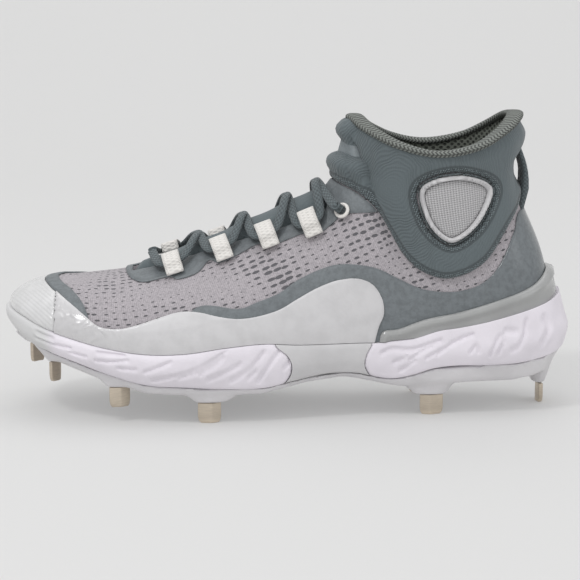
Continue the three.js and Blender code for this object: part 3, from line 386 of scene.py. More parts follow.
def line_distance(places, line):
    best = np.full(len(places), 1e9)
    for a, b in zip(line[:-1], line[1:]):
        run = b - a
        t = np.clip((places - a) @ run / max(run @ run, 1e-9), 0, 1)
        best = np.minimum(best, np.linalg.norm(places - a - t[:, None] * run, axis=1))
    return best


def inside(places, corners):
    x, y = places.T
    odd = np.zeros(len(places), bool)
    for (ax, ay), (bx, by) in zip(corners, np.roll(corners, -1, axis=0)):
        if ay != by:
            odd ^= ((ay > y) != (by > y)) & (x < ax + (y - ay) * (bx - ax) / (by - ay))
    return odd


def side_line(rows, steps=6):
    at, up = np.array(rows).T
    return smooth_line(np.stack([place_x(at), height_of(up)], 1), steps)


def plan_line(rows, steps=6):
    at, across = np.array(rows).T
    return smooth_line(np.stack([place_x(at), across * BALL_WIDTH], 1), steps)


def region(places, line, far):
    """Distance in mm from a drawn edge, above 0 on the side of the far corners."""
    corners = np.vstack([line, [[line[-1][0] + far[1][0], line[-1][1] + far[1][1]],
                                [line[0][0] + far[0][0], line[0][1] + far[0][1]]]])
    distance = line_distance(places, line)
    return np.where(inside(places, corners), distance, -distance)


def below(data, rows):
    return region(data[:, [0, 2]], side_line(rows), ((0, -200), (0, -200)))


def above(data, rows):
    return region(data[:, [0, 2]], side_line(rows), ((0, 200), (0, 200)))


def closed_region(data, line):
    places = data[:, [0, 2]]
    distance = line_distance(places, np.vstack([line, line[:1]]))
    return np.where(inside(places, line), distance, -distance)


def on_side(data, side):
    return side * data[:, 1] - BALL_WIDTH * 0.02


def throat_field(data):
    """Above 0 in the throat, seen from above."""
    at, half = np.array(THROAT_HALF).T
    x = place_x(at)
    width = np.interp(data[:, 0], x, half * BALL_WIDTH)
    ends = np.minimum(data[:, 0] - x[0], x[-1] - data[:, 0])
    return np.minimum(np.minimum(width - np.abs(data[:, 1]), ends), data[:, 2] - SOLE_HEIGHT)


def toe_edge_field(data):
    """Distance behind the toe cap's edge, seen from above."""
    return region(data[:, [0, 1]], plan_line(TOE_EDGE), ((400, 0), (400, 0)))


def cut_patch(grid, field):
    """The part of a grid where a field is above 0, its edge cut along the field's own line."""
    data, quads = grid
    data = np.hstack([data, field[:, None]])
    kept = field[quads] > 0
    whole = quads[kept.all(1)]
    faces = [tuple(face) for face in whole]
    extra, made = [], {}
    for quad in quads[kept.any(1) & ~kept.all(1)]:
        corners = []
        for k in range(4):
            a, b = quad[k], quad[(k + 1) % 4]
            if a == b:
                continue
            if field[a] > 0:
                corners.append(a)
            if (field[a] > 0) != (field[b] > 0):
                key = (min(a, b), max(a, b))
                if key not in made:
                    low, high = key
                    t = field[low] / (field[low] - field[high])
                    t = min(max(t, 0.02), 0.98)
                    row = data[low] * (1 - t) + data[high] * t
                    row[EDGE] = 0
                    made[key] = len(data) + len(extra)
                    extra.append(row)
                corners.append(made[key])
        if len(corners) > 2:
            faces.append(tuple(corners))
    if extra:
        data = np.vstack([data, extra])
    used, place = np.unique([i for face in faces for i in face], return_inverse=True)
    data = data[used]
    data[:, 3:6] = unit(data[:, 3:6])
    ends = np.cumsum([len(face) for face in faces])[:-1]
    clean = []
    for face in np.split(place, ends):
        corners = [int(c) for i, c in enumerate(face) if c != face[i - 1]]
        if len(set(corners)) > 2:
            clean.append(tuple(corners))
    return data, clean


def border_edges(faces):
    seen = {}
    for face in faces:
        for a, b in zip(face, face[1:] + face[:1]):
            seen[(a, b)] = seen.get((a, b), 0) + 1
    return [edge for edge in seen if (edge[1], edge[0]) not in seen]


def thick(patch, inner, outer, soft=1.2, lip=0.45):
    """A closed skin between two offsets, thinner by a soft shoulder along its edge."""
    data, faces = patch
    points, normals, edge = data[:, :3], data[:, 3:6], data[:, EDGE]
    inner = np.broadcast_to(inner, edge.shape)
    outer = np.broadcast_to(outer, edge.shape)
    shoulder = lip + (1 - lip) * np.sqrt(1 - (1 - np.clip(edge / soft, 0, 1)) ** 2)
    top = points + normals * (inner + (outer - inner) * shoulder)[:, None]
    bottom = points + normals * inner[:, None]
    n = len(data)
    walls = [(b, a, a + n, b + n) for a, b in border_edges(faces)]
    shut = faces + [tuple(i + n for i in face[::-1]) for face in faces] + walls
    return np.vstack([top, bottom]), shut, np.vstack([data, data])


# Vertices nearer than this, in metres, are one
DOUBLES = 0.00001


def rest_all():
    bpy.ops.object.select_all(action="DESELECT")


def use(piece):
    rest_all()
    piece.select_set(True)
    bpy.context.view_layer.objects.active = piece


def apply_all(piece):
    use(piece)
    for modifier in list(piece.modifiers):
        bpy.ops.object.modifier_apply(modifier=modifier.name)


def new_object(name, data):
    item = bpy.data.objects.new(name, data)
    bpy.context.scene.collection.objects.link(item)
    return item


def object_from(name, points, faces, world=False):
    """A mesh object from points in the shoe's mm, or in metres of the frame where world is set."""
    mesh = bpy.data.meshes.new(name)
    places = points if world else (np.asarray(points, float) + SHIFT) * MM
    mesh.from_pydata([tuple(map(float, p)) for p in places], [], faces)
    mesh.validate()
    return new_object(name, mesh)


def write_attribute(piece, name, values):
    values = np.asarray(values, np.float32)
    kind = "FLOAT_VECTOR" if values.ndim == 2 else "FLOAT"
    attribute = piece.data.attributes.new(name, kind, "POINT")
    attribute.data.foreach_set("vector" if values.ndim == 2 else "value", values.ravel())


def finish(piece, materials, nodes=(), angle=50):
    """Smooth shading with sharp corners, materials, and the piece's place in the frame."""
    piece.data.materials.clear()
    for material in materials:
        piece.data.materials.append(material)
    piece.data.shade_smooth()
    piece.data.set_sharp_from_angle(angle=math.radians(angle))
    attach(piece, "root")
    if nodes:
        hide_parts(*nodes)
    return piece


def skin_piece(name, patch, inner, outer, materials, slot, nodes=(), soft=1.2, lip=0.45):
    points, faces, data = thick(patch, inner, outer, soft, lip)
    piece = object_from(name, points, faces)
    write_attribute(piece, "cloth_mm", data[:, 6:9])
    write_attribute(piece, "edge_mm", data[:, EDGE])
    return finish(piece, materials, nodes)


def ring_faces(rings, count, closed_rings=False, capped=True):
    faces = []
    for i in range(rings - (0 if closed_rings else 1)):
        after = (i + 1) % rings
        for j in range(count):
            k = (j + 1) % count
            faces.append((i * count + j, after * count + j, after * count + k, i * count + k))
    if capped and not closed_rings:
        faces.append(tuple(range(count)))
        faces.append(tuple((rings - 1) * count + j for j in reversed(range(count))))
    return faces


def right_way_out(piece, turn=True):
    """Doubles merged and, on a closed piece made here, slivers removed and faces turned out."""
    mesh = bmesh.new()
    mesh.from_mesh(piece.data)
    bmesh.ops.remove_doubles(mesh, verts=mesh.verts, dist=DOUBLES)
    if turn:
        bmesh.ops.dissolve_degenerate(mesh, edges=mesh.edges, dist=DOUBLES / 2)
        bmesh.ops.recalc_face_normals(mesh, faces=mesh.faces)
    mesh.to_mesh(piece.data)
    mesh.free()
    return piece


def sweep(name, path, ups, section, closed=False):
    """A section of (across, up) carried along a path. Vertices keep their place along and round."""
    path, ups, section = np.array(path), np.array(ups), np.array(section)
    if closed:
        tangent = unit(np.roll(path, -1, axis=0) - np.roll(path, 1, axis=0))
    else:
        tangent = unit(np.gradient(path, axis=0))
    ups = unit(ups - tangent * (ups * tangent).sum(1)[:, None])
    across = np.cross(tangent, ups)
    count = section.shape[-2]
    sections = np.broadcast_to(section, (len(path), count, 2))
    rings = path[:, None] + across[:, None] * sections[..., :1] + ups[:, None] * sections[..., 1:]
    piece = object_from(name, rings.reshape(-1, 3), ring_faces(len(path), count, closed))
    turn = np.linspace(0, 1, count, endpoint=False)
    place = np.stack(np.broadcast_arrays(run_length(path)[:, None], turn[None], 0.0), -1).reshape(-1, 3)
    write_attribute(piece, "cloth_mm", place)
    return piece


def copy_of(node, name):
    """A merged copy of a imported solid's own mesh."""
    return right_way_out(new_object(name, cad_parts[node].data.copy()), turn=False)


def modifier(piece, kind, **settings):
    added = piece.modifiers.new(kind.title(), kind)
    for name, setting in settings.items():
        setattr(added, name, setting)


def linear(code):
    """sRGB hex to the linear colour that the shader wants."""
    parts = [int(code[i:i + 2], 16) / 255 for i in (1, 3, 5)]
    return tuple(c / 12.92 if c <= 0.04045 else ((c + 0.055) / 1.055) ** 2.4 for c in parts) + (1.0,)


def toned(colour, share):
    """A darker or paler tone of a linear colour."""
    return tuple(min(part * share, 1) for part in colour[:3]) + (1,)


def add(tree, kind, inputs=None, **settings):
    """One node with its settings; an input is a value or another node's output."""
    node = tree.nodes.new(kind)
    for name, setting in settings.items():
        setattr(node, name, setting)
    for name, source in (inputs or {}).items():
        if isinstance(source, bpy.types.NodeSocket):
            tree.links.new(source, node.inputs[name])
        else:
            node.inputs[name].default_value = source
    return node


def new_material(name, shader):
    material = bpy.data.materials.new(name)
    material.use_nodes = True
    tree = material.node_tree
    tree.nodes.clear()
    surface = add(tree, "ShaderNodeBsdfPrincipled", shader)
    add(tree, "ShaderNodeOutputMaterial", {"Surface": surface.outputs[0]})
    return material, tree, surface


def in_mm(tree):
    """Object place in mm."""
    place = add(tree, "ShaderNodeTexCoord").outputs["Object"]
    return add(tree, "ShaderNodeVectorMath", {0: place, "Scale": 1 / MM}, operation="SCALE").outputs[0]


def stretched(tree, place, shares):
    return add(tree, "ShaderNodeVectorMath", {0: place, 1: shares}, operation="MULTIPLY").outputs[0]


def cloth_mm(tree, turn=0.0, spacing=(1, 1)):
    """Place in the cloth in mm, turned and divided by a pattern's own spacing."""
    place = add(tree, "ShaderNodeAttribute", attribute_name="cloth_mm").outputs["Vector"]
    turned = add(tree, "ShaderNodeMapping", {"Vector": place, "Rotation": (0, 0, turn)})
    return stretched(tree, turned.outputs[0], (1 / spacing[0], 1 / spacing[1], 1))


def edge_mm(tree):
    """Distance in mm from the panel's cut edge."""
    return add(tree, "ShaderNodeAttribute", attribute_name="edge_mm").outputs["Fac"]


def axes(tree, place):
    return add(tree, "ShaderNodeSeparateXYZ", {"Vector": place}).outputs


def calc(tree, operation, *values):
    return add(tree, "ShaderNodeMath", dict(enumerate(values)), operation=operation).outputs[0]


def times(tree, first, second):
    return calc(tree, "MULTIPLY", first, second)


def rest_of(tree, share):
    return calc(tree, "SUBTRACT", 1.0, share)


def ramp(tree, factor, low, high, start=0.0, end=1.0):
    limits = {"Value": factor, "From Min": low, "From Max": high, "To Min": start, "To Max": end}
    return add(tree, "ShaderNodeMapRange", limits, interpolation_type="SMOOTHSTEP").outputs[0]


def wave(tree, place, spacing):
    """Even ridges from -1 to 1, one in each spacing."""
    return calc(tree, "SINE", times(tree, place, 2 * math.pi / spacing))


def blend_colours(tree, factor, first, second):
    # The colour sockets of a Mix node share their names with others: 6 and 7 in, 2 out
    inputs = {"Factor": factor, 6: first, 7: second}
    return add(tree, "ShaderNodeMix", inputs, data_type="RGBA").outputs[2]


def paint(tree, shader, colour):
    tree.links.new(colour, shader.inputs["Base Color"])


def grain(tree, place, scale, detail=3.0, roughness=0.5, distortion=0.0):
    inputs = {"Vector": place, "Scale": scale, "Detail": detail, "Roughness": roughness,
              "Distortion": distortion}
    return add(tree, "ShaderNodeTexNoise", inputs).outputs["Fac"]


def cells(tree, place, scale=1.0, randomness=1.0):
    inputs = {"Vector": place, "Scale": scale, "Randomness": randomness}
    return add(tree, "ShaderNodeTexVoronoi", inputs).outputs["Distance"]


def stand_out(tree, shader, height, distance):
    """Bump from a height between 0 and 1; distance in mm."""
    node = add(tree, "ShaderNodeBump", {"Height": height, "Strength": 1.0, "Distance": distance * MM})
    tree.links.new(node.outputs[0], shader.inputs["Normal"])


def slots(tree, place, length, width, spacing):
    """Oval holes, one in each cell of a loose lattice: below 1 in a hole, above 1 between."""
    inputs = {"Vector": place, "Scale": 1.0, "Randomness": 0.35}
    point = add(tree, "ShaderNodeTexVoronoi", inputs, voronoi_dimensions="2D").outputs["Position"]
    away = add(tree, "ShaderNodeVectorMath", {0: place, 1: point}, operation="SUBTRACT").outputs[0]
    oval = stretched(tree, away, (2 * spacing[0] / length, 2 * spacing[1] / width, 0))
    return add(tree, "ShaderNodeVectorMath", {0: oval}, operation="LENGTH").outputs["Value"]


def engineered_mesh(colour, hole_colour):
    # Polyester mesh, warp knitted in two layers: matt, with fine loops and dark slots whose rows
    # rise to the heel, where the under layer shows through
    material, tree, shader = new_material(
        "warp_knitted_polyester_mesh", {"Roughness": 0.82, "Sheen Weight": 0.15})
    turn, spacing, slot = -0.3, (5.2, 3.7), (2.5, 1.0)
    size = grain(tree, cloth_mm(tree, 0, (38, 26)), 1.0, 1.0)
    reach = slots(tree, cloth_mm(tree, turn, spacing), *slot, spacing)
    reach = calc(tree, "ADD", reach, times(tree, calc(tree, "SUBTRACT", 0.5, size), 4.0))
    hole = rest_of(tree, ramp(tree, reach, 0.72, 1.12))
    loops = cells(tree, cloth_mm(tree, turn, (1.05, 0.75)), 1.0, 0.25)
    # Painted shade: the cloth is darker in the dips between its fine loops
    cloth = blend_colours(tree, ramp(tree, loops, 0.15, 0.75), colour, toned(colour, 0.70))
    shade = grain(tree, in_mm(tree), 0.9, 2.0)
    cloth = blend_colours(tree, ramp(tree, shade, 0.35, 0.75, 0, 0.35), cloth, hole_colour)
    paint(tree, shader, blend_colours(tree, hole, cloth, hole_colour))
    height = calc(tree, "SUBTRACT", times(tree, loops, -0.35), times(tree, hole, 0.9))
    stand_out(tree, shader, height, 0.55)
    return material


def diamond_lining(colour, hole_colour):
    # Spacer mesh lining: a soft net of diamonds about 3 mm apart, lighter threads over holes painted dark as
    # shade
    material, tree, shader = new_material("spacer_mesh_lining", {"Roughness": 0.9})
    threads = ramp(tree, cells(tree, cloth_mm(tree, math.pi / 4, (2.3, 2.3)), 1.0, 0.1), 0.24, 0.42)
    paint(tree, shader, blend_colours(tree, rest_of(tree, threads), colour, hole_colour))
    stand_out(tree, shader, threads, 0.5)
    return material


def padded_knit(colour, centre):
    # Foam-backed circular knit: matt, with fine ridges that run round the ankle's front like the
    # grain of a fingerprint and fade towards the heel
    material, tree, shader = new_material("foam_backed_knit", {"Roughness": 0.85, "Sheen Weight": 0.2})
    line_spacing, wander = 1.6, (17.0, 17.0, 19.0)
    place = in_mm(tree)
    noise = add(tree, "ShaderNodeTexNoise", {"Vector": place, "Scale": 0.045, "Detail": 2.0})
    moved = add(tree, "ShaderNodeVectorMath", {0: noise.outputs["Color"], 1: wander, 2: place},
                operation="MULTIPLY_ADD").outputs[0]
    away = add(tree, "ShaderNodeVectorMath", {0: moved, 1: centre}, operation="DISTANCE").outputs["Value"]
    lines = calc(tree, "MULTIPLY_ADD", wave(tree, away, line_spacing), 0.5, 0.5)
    fade = times(tree, ramp(tree, away, 20.0, 75.0, 1.0, 0.25), ramp(tree, away, 4.0, 18.0, 0.15, 1.0))
    shade = times(tree, lines, fade)
    stitches = cells(tree, cloth_mm(tree, 0.1, (0.8, 0.55)), 1.0, 0.3)
    # Painted shade: the knit is darker in the troughs between its ridges and between its stitches
    tint = calc(tree, "MULTIPLY_ADD", shade, 0.36, times(tree, stitches, 0.45))
    cloth = blend_colours(tree, tint, colour, toned(colour, 0.62))
    # The speckled band along the edge, and inside it a dark line of painted shade in a shallow groove
    edge, black = edge_mm(tree), toned(colour, 0.38)
    band = rest_of(tree, ramp(tree, edge, 2.3, 2.6))
    dots = ramp(tree, cells(tree, cloth_mm(tree, 0.4, (0.9, 0.9)), 1.0, 0.3), 0.2, 0.5)
    cloth = blend_colours(tree, band, cloth, blend_colours(tree, dots, toned(colour, 1.5), black))
    shaded_groove = times(tree, ramp(tree, edge, 2.2, 2.6), rest_of(tree, ramp(tree, edge, 3.2, 3.8)))
    paint(tree, shader, blend_colours(tree, times(tree, shaded_groove, 0.7), cloth, black))
    height = calc(tree, "ADD", times(tree, shade, -0.55), times(tree, stitches, -0.3))
    stand_out(tree, shader, calc(tree, "SUBTRACT", height, times(tree, shaded_groove, 0.5)), 0.5)
    return material


def grained_skin(colour, name="embossed_polyurethane_skin", gloss_from=None):
    # Polyurethane skin pressed with a fine leather grain: satin, glossy where it is laid over the
    # hard heel counter
    rough, less_rough = 0.5, -0.28
    material, tree, shader = new_material(name, {"Roughness": rough})
    place = in_mm(tree)
    folds = grain(tree, place, 0.35, 4.0, 0.6)
    height = calc(tree, "MULTIPLY_ADD", cells(tree, place, 0.85), 0.6, times(tree, folds, 0.5))
    dark = toned(colour, 0.78)
    cloth = blend_colours(tree, ramp(tree, folds, 0.35, 0.7), colour, dark)
    edge = edge_mm(tree)
    line = times(tree, ramp(tree, edge, 0.15, 0.45), rest_of(tree, ramp(tree, edge, 0.9, 1.2)))
    paint(tree, shader, blend_colours(tree, times(tree, line, 0.5), cloth, dark))
    if gloss_from is None:
        stand_out(tree, shader, height, 0.16)
    else:
        gloss = ramp(tree, axes(tree, place)["X"], gloss_from, gloss_from + 0.6)
        tree.links.new(calc(tree, "MULTIPLY_ADD", gloss, less_rough, rough), shader.inputs["Roughness"])
        weight = rest_of(tree, times(tree, gloss, 0.85))
        height = calc(tree, "ADD", times(tree, height, weight), times(tree, gloss, 1.6))
        stand_out(tree, shader, height, 0.2)
    return material


def gloss_film(colour, name, rib_mm=None, crease_from=None):
    # Thermoplastic film, heat pressed over the mesh: satin to glossy, with soft creases that catch
    # the light over the toes
    material, tree, shader = new_material(
        name, {"Roughness": 0.23, "Coat Weight": 0.8, "Coat Roughness": 0.06})
    place = in_mm(tree)
    mottle = ramp(tree, grain(tree, place, 0.12, 4.0, 0.55), 0.35, 0.7, 0, 0.6)
    paint(tree, shader, blend_colours(tree, mottle, colour, toned(colour, 0.86)))
    height = times(tree, grain(tree, place, 0.75, 2.0), 0.18)
    if crease_from is not None:
        near = ramp(tree, axes(tree, place)["X"], crease_from - 32, crease_from, 1.0, 0.0)
        creases = grain(tree, place, 0.13, 1.2, distortion=0.9)
        ridge = calc(tree, "ABSOLUTE", calc(tree, "SUBTRACT", creases, 0.5))
        ridge = calc(tree, "SMOOTH_MAX", ridge, 0.05, 0.08)
        height = calc(tree, "MULTIPLY_ADD", times(tree, ridge, 7.0), near, height)
    if rib_mm:
        slant = add(tree, "ShaderNodeVectorMath", {0: place, 1: (1.0, 0.35, 0.9)},
                    operation="DOT_PRODUCT").outputs["Value"]
        height = calc(tree, "MULTIPLY_ADD", wave(tree, slant, rib_mm), 0.25, height)
    stand_out(tree, shader, height, 0.3)
    return material


def moulded(colour, name, roughness, pebble=1.4, depth=0.06, coat=0.0, grey_to=None):
    # Moulded rubber, foam or nylon: an even skin with a very fine pebble from the mould
    material, tree, shader = new_material(name, {"Coat Weight": coat, "Coat Roughness": 0.15})
    place = in_mm(tree)
    mottle = grain(tree, place, 0.06, 3.0)
    skin = blend_colours(tree, ramp(tree, mottle, 0.3, 0.75), colour, toned(colour, 0.90))
    if grey_to is not None:
        grey = (colour[1] * 0.83,) * 3 + (1,)
        skin = blend_colours(tree, ramp(tree, axes(tree, place)["X"], grey_to - 4, grey_to + 4), grey, skin)
    paint(tree, shader, skin)
    sheen_variation = calc(tree, "MULTIPLY_ADD", mottle, 0.2, roughness - 0.1)
    tree.links.new(sheen_variation, shader.inputs["Roughness"])
    stand_out(tree, shader, cells(tree, place, pebble), depth)
    return material


def blade_steel(colour):
    # Stamped steel with a warm plated finish, brushed along the blade, with a painted highlight that makes it
    # paler at the foot
    material, tree, shader = new_material("plated_stamped_steel", {"Metallic": 1.0})
    place = in_mm(tree)
    brush = grain(tree, stretched(tree, place, (0.25, 0.25, 5.0)), 1.0, 3.0, 0.7)
    tint = blend_colours(tree, ramp(tree, brush, 0.3, 0.7, 0, 0.5), colour, toned(colour, 0.7))
    # Painted highlight: the base colour turns paler near the blade's foot, below 3 mm in height
    sheen_variation = ramp(tree, axes(tree, place)["Z"], 0.4, 3.0, 1.0, 0.0)
    paint(tree, shader, blend_colours(tree, times(tree, sheen_variation, 0.6), tint, toned(colour, 1.35)))
    tree.links.new(calc(tree, "MULTIPLY_ADD", brush, 0.25, 0.24), shader.inputs["Roughness"])
    stand_out(tree, shader, brush, 0.05)
    return material


def woven_tape(colour, name, spacing, turn=0.0, contrast=0.6):
    # Flat woven or braided yarn: crossing ridges of thread, matt with a little sheen
    material, tree, shader = new_material(name, {"Roughness": 0.8, "Sheen Weight": 0.2})
    split = axes(tree, cloth_mm(tree, turn, spacing))
    weave = times(tree, wave(tree, split["X"], 2), wave(tree, split["Y"], 2))
    weave = calc(tree, "MULTIPLY_ADD", weave, 0.5, 0.5)
    paint(tree, shader, blend_colours(tree, weave, toned(colour, 1 - contrast), colour))
    stand_out(tree, shader, weave, 0.4)
    return material


def chevron_binding(colour, pale):
    # Knitted binding: loops of two yarns lean against each other in small chevrons
    material, tree, shader = new_material("two_yarn_knit_binding", {"Roughness": 0.85})
    split = axes(tree, cloth_mm(tree))
    row = calc(tree, "PINGPONG", times(tree, split["Y"], 10.0), 1.0)
    lean = calc(tree, "MULTIPLY_ADD", split["X"], 0.5, times(tree, row, 0.6))
    loop = calc(tree, "PINGPONG", lean, 0.5)
    paint(tree, shader, blend_colours(tree, ramp(tree, loop, 0.12, 0.36), colour, pale))
    stand_out(tree, shader, calc(tree, "MULTIPLY_ADD", loop, 1.6, times(tree, row, 0.4)), 0.5)
    return material


def studio_floor(colour):
    # Seamless translucent sweep with a little light from below: even, with pale soft shadows
    material, tree, shader = new_material("matt_translucent_sweep", {
        "Roughness": 0.9, "Emission Color": (1.0, 1.0, 1.0, 1.0), "Emission Strength": 0.19})
    paint(tree, shader, blend_colours(tree, grain(tree, in_mm(tree), 0.4, 2.0), colour, toned(colour, 0.985)))
    return material


def bump(x, centre, half):
    """1 at the centre, falling in a curve to 0 at half the bump's width from it."""
    return np.maximum(0, 1 - ((x - centre) / half) ** 2)


CUFF_THICKNESS = 3.4
# Rolls across the cuff's front: height, half of the roll's height, how far it stands out
FRONT_ROLLS = ((140.5, 5.3, 3.3), (131.0, 5.0, -2.6), (121.5, 5.3, 3.3))
FRONT_ROLLS_END = 46.0
# The rolls fall towards the heel by this slope, and their heights count at this place
ROLL_SLOPE, ROLL_START = 0.4, 28.0
# Tab between the rolls: its lower and upper height and its rear end
CUFF_TAB = (125.5, 136.5, 44.0)
TAB_FACE = 2.3
# Behind the heel: rows to each side, height share and half height, and then how far the roll under
# the collar stands out in mm, and which share of the padding the hollow takes
COLLAR_ROLL = (3.2, 0.91, 0.1)
COLLAR_ROLL_OUT = 3.0
HEEL_HOLLOW = (3.0, 0.735, 0.115)
HEEL_HOLLOW_DEPTH = 0.85


def heel_spot(s, v, spot):
    rows, up, half = spot
    return bump(s, LAST_ROW, rows) * bump(v, up, half)


def cuff_face(s, v):
    """How far the cuff stands off the last: a roll and a hollow behind the heel."""
    padding = CUFF_THICKNESS * (1 - HEEL_HOLLOW_DEPTH * heel_spot(s, v, HEEL_HOLLOW))
    return CLEARANCE + (padding + COLLAR_ROLL_OUT * heel_spot(s, v, COLLAR_ROLL))


# The heel clip's thickness, and how much it swells at the foot of the heel over these rows
CLIP_THICKNESS, CLIP_SWELL, CLIP_SWELL_ROWS = 1.6, 3.6, 4


def clip_face(s, v):
    back = smoothstep(s, LAST_ROW - CLIP_SWELL_ROWS, LAST_ROW)
    return FILM[0] + CLIP_THICKNESS + CLIP_SWELL * back * np.maximum(0, 1 - v * 4)


# How far the window's corners are drawn towards a circle
WINDOW_ROUNDING = 0.35


def pod_line():
    """The ankle window's rounded outline in side view."""
    at, up = np.array(POD_WINDOW).T
    corners = np.stack([place_x(at), height_of(up)], 1)
    away = corners - corners.mean(axis=0)
    reach = np.linalg.norm(away, axis=1, keepdims=True)
    corners = corners.mean(axis=0) + away * (1 + WINDOW_ROUNDING * (reach.mean() / reach - 1))
    return closed_line(corners, len(corners) * 8)


# Columns of the sole along each side, and points across the foam's wall
SOLE_COLUMNS_ALONG = 430
SOLE_ACROSS = 40
# The foam's lip rises behind the heel clip: first row, last row, mm
HEEL_LIP = ((15.8, 17.5, 2.7), (19.5, 23, 1.4))
# Grooves of the foam: depth, half width, and mm in side view for the whole of the foam's height
GROOVE_DEPTH, GROOVE_HALF, FOAM_HEIGHT = 1.25, 1.15, 17
# The raised skin beside a groove: height, distance from the groove's middle, half width
GROOVE_RIDGE = (0.3, 2.8, 1.2)
# Rounding of a pod's end beside the bridge
POD_ROUNDING = 1.6
# Sculpted grooves of the foam in side view: place along the shoe, share of the foam's height
FOREFOOT_GROOVES = (
    ((0.160, 0.45), (0.189, 0.58), (0.217, 0.75)), ((0.248, 0.47), (0.293, 0.79)),
    ((0.262, 0.22), (0.320, 0.47), (0.355, 0.67), (0.393, 0.93)),
    ((0.310, 0.33), (0.345, 0.50), (0.383, 0.80)), ((0.348, 0.42), (0.376, 0.65), (0.388, 0.80)),
    ((0.362, 0.28), (0.396, 0.45), (0.419, 0.60)), ((0.403, 0.23), (0.438, 0.50), (0.462, 0.82)),
    ((0.434, 0.30), (0.448, 0.42)), ((0.452, 0.20), (0.479, 0.66), (0.497, 0.93)),
    ((0.500, 0.45), (0.510, 0.58)), ((0.113, 0.42), (0.141, 0.47)), ((0.082, 0.50), (0.113, 0.60)),
    ((0.200, 0.40), (0.231, 0.50)), ((0.165, 0.78), (0.210, 0.90)), ((0.051, 0.45), (0.075, 0.50)),
    ((0.055, 0.70), (0.079, 0.75)),
)
HEEL_GROOVES = (
    ((0.780, 0.44), (0.805, 0.71), (0.834, 0.86), (0.844, 0.90)),
    ((0.841, 0.42), (0.850, 0.57), (0.855, 0.42)),
    ((0.878, 0.30), (0.887, 0.55), (0.896, 0.72), (0.903, 0.55)), ((0.893, 0.34), (0.898, 0.46)),
    ((0.917, 0.34), (0.931, 0.40), (0.941, 0.62), (0.945, 0.90)), ((0.712, 0.23), (0.739, 0.40)),
    ((0.700, 0.45), (0.724, 0.56)), ((0.760, 0.42), (0.790, 0.58)), ((0.905, 0.80), (0.925, 0.72)),
    ((0.729, 0.47), (0.751, 0.62), (0.770, 0.70)),
    ((0.678, 0.72), (0.697, 0.80), (0.736, 0.72), (0.785, 0.84)),
    ((0.975, 0.30), (0.990, 0.55), (0.980, 0.80)),
)


def section_points(knots):
    """Points (reach, height) of a section, for every row along the shoe."""
    return np.array([np.stack(np.broadcast_arrays(*knot), -1) for knot in knots])


def foam_wall(s):
    """Reach and height of the foam's section, from under the foot up over the lip to the bed."""
    bottom, top = SOLE_HEIGHT * value("bottom", s), SOLE_HEIGHT * value("base", s) - CLEARANCE
    lip, belly, foot = (BALL_WIDTH * value(name, s) for name in ("lip", "belly", "foot"))
    depth = top - bottom
    rise = sum(height * smoothstep(s, first, last) for first, last, height in HEEL_LIP)
    knots = [
        (foot - 2.0, bottom),
        (foot - 0.3, bottom + depth * 0.03),
        (foot + (belly - foot) * 0.35, bottom + depth * 0.14),
        (belly, bottom + depth * 0.45),
        ((belly + lip) / 2 + 0.6, bottom + depth * 0.80),
        (lip + 0.1 + rise * 0.35, top + rise - 0.5),
        (lip - 0.6 + rise * 0.35, top + rise),
    ]
    wall = catmull(with_ends(section_points(knots)), np.linspace(0, len(knots) - 1, SOLE_ACROSS))
    inner = section_points([(CLEARANCE, top), (CLEARANCE, SOLE_HEIGHT * value("bed", s))])
    return np.concatenate([wall, inner])


def sole_stack(name, steps, section_of, carve=None):
    """A closed solid of rings along the shoe, each through both halves of one section."""
    halves = []
    for side in (-1, 1):
        p = side * steps
        section = section_of(steps)
        base, out = base_point(p), sole_out(p)
        places = base[None] + out[None] * section[..., :1]
        places[..., 2] = section[..., 1]
        if carve is not None:
            places -= out[None] * carve(places)[..., None]
        halves.append(places)
    rings = np.concatenate([halves[0], halves[1][::-1]]).transpose(1, 0, 2)
    faces = ring_faces(len(steps), rings.shape[1], capped=False)
    return right_way_out(object_from(name, rings.reshape(-1, 3), faces))


def foam_carving(grooves, end):
    """Depth of the sculpted grooves, and of the rounding at the pod's end."""
    lines = [np.array(line) for line in grooves]

    def depth_at(places):
        flat = places.reshape(-1, 3)
        s = row_at(flat[:, 0] / UPPER_LENGTH + 0.5)
        low, high = SOLE_HEIGHT * value("bottom", s), SOLE_HEIGHT * value("base", s)
        share = (flat[:, 2] - low) / (high - low)
        spot = np.stack([flat[:, 0], share * FOAM_HEIGHT], 1)
        depth = np.zeros(len(flat))
        height, middle, half = GROOVE_RIDGE
        for line in lines:
            path = smooth_line(np.stack([place_x(line[:, 0]), line[:, 1] * FOAM_HEIGHT], 1), 4)
            near = line_distance(spot, path)
            depth = np.maximum(depth, GROOVE_DEPTH * np.exp(-(near / GROOVE_HALF) ** 2))
            depth -= height * np.exp(-((near - middle) / half) ** 2)
        depth *= smoothstep(share, 0.05, 0.2) * (1 - smoothstep(share, 0.88, 0.98))
        inner = np.clip(POD_ROUNDING - line_distance(flat[:, [0, 2]], end), 0, POD_ROUNDING)
        depth += POD_ROUNDING - np.sqrt(POD_ROUNDING ** 2 - inner ** 2)
        return depth.reshape(places.shape[:-1])

    return depth_at


def keep_prism(piece, corners):
    """Keeps what lies in a prism seen from the side, wider than the shoe."""
    n, half_width = len(corners), 90
    points = [(x, y, z) for y in (-half_width, half_width) for x, z in corners]
    faces = [tuple(range(n)), tuple(range(2 * n - 1, n - 1, -1))]
    faces += [(i, i + n, (i + 1) % n + n, (i + 1) % n) for i in range(n)]
    cutter = right_way_out(object_from("cutter", points, faces))
    modifier(piece, "BOOLEAN", operation="INTERSECT", object=cutter, solver="MANIFOLD")
    apply_all(piece)
    bpy.data.objects.remove(cutter)
    if not len(piece.data.polygons):
        raise RuntimeError(f"{piece.name}: nothing is left of it")
    return piece


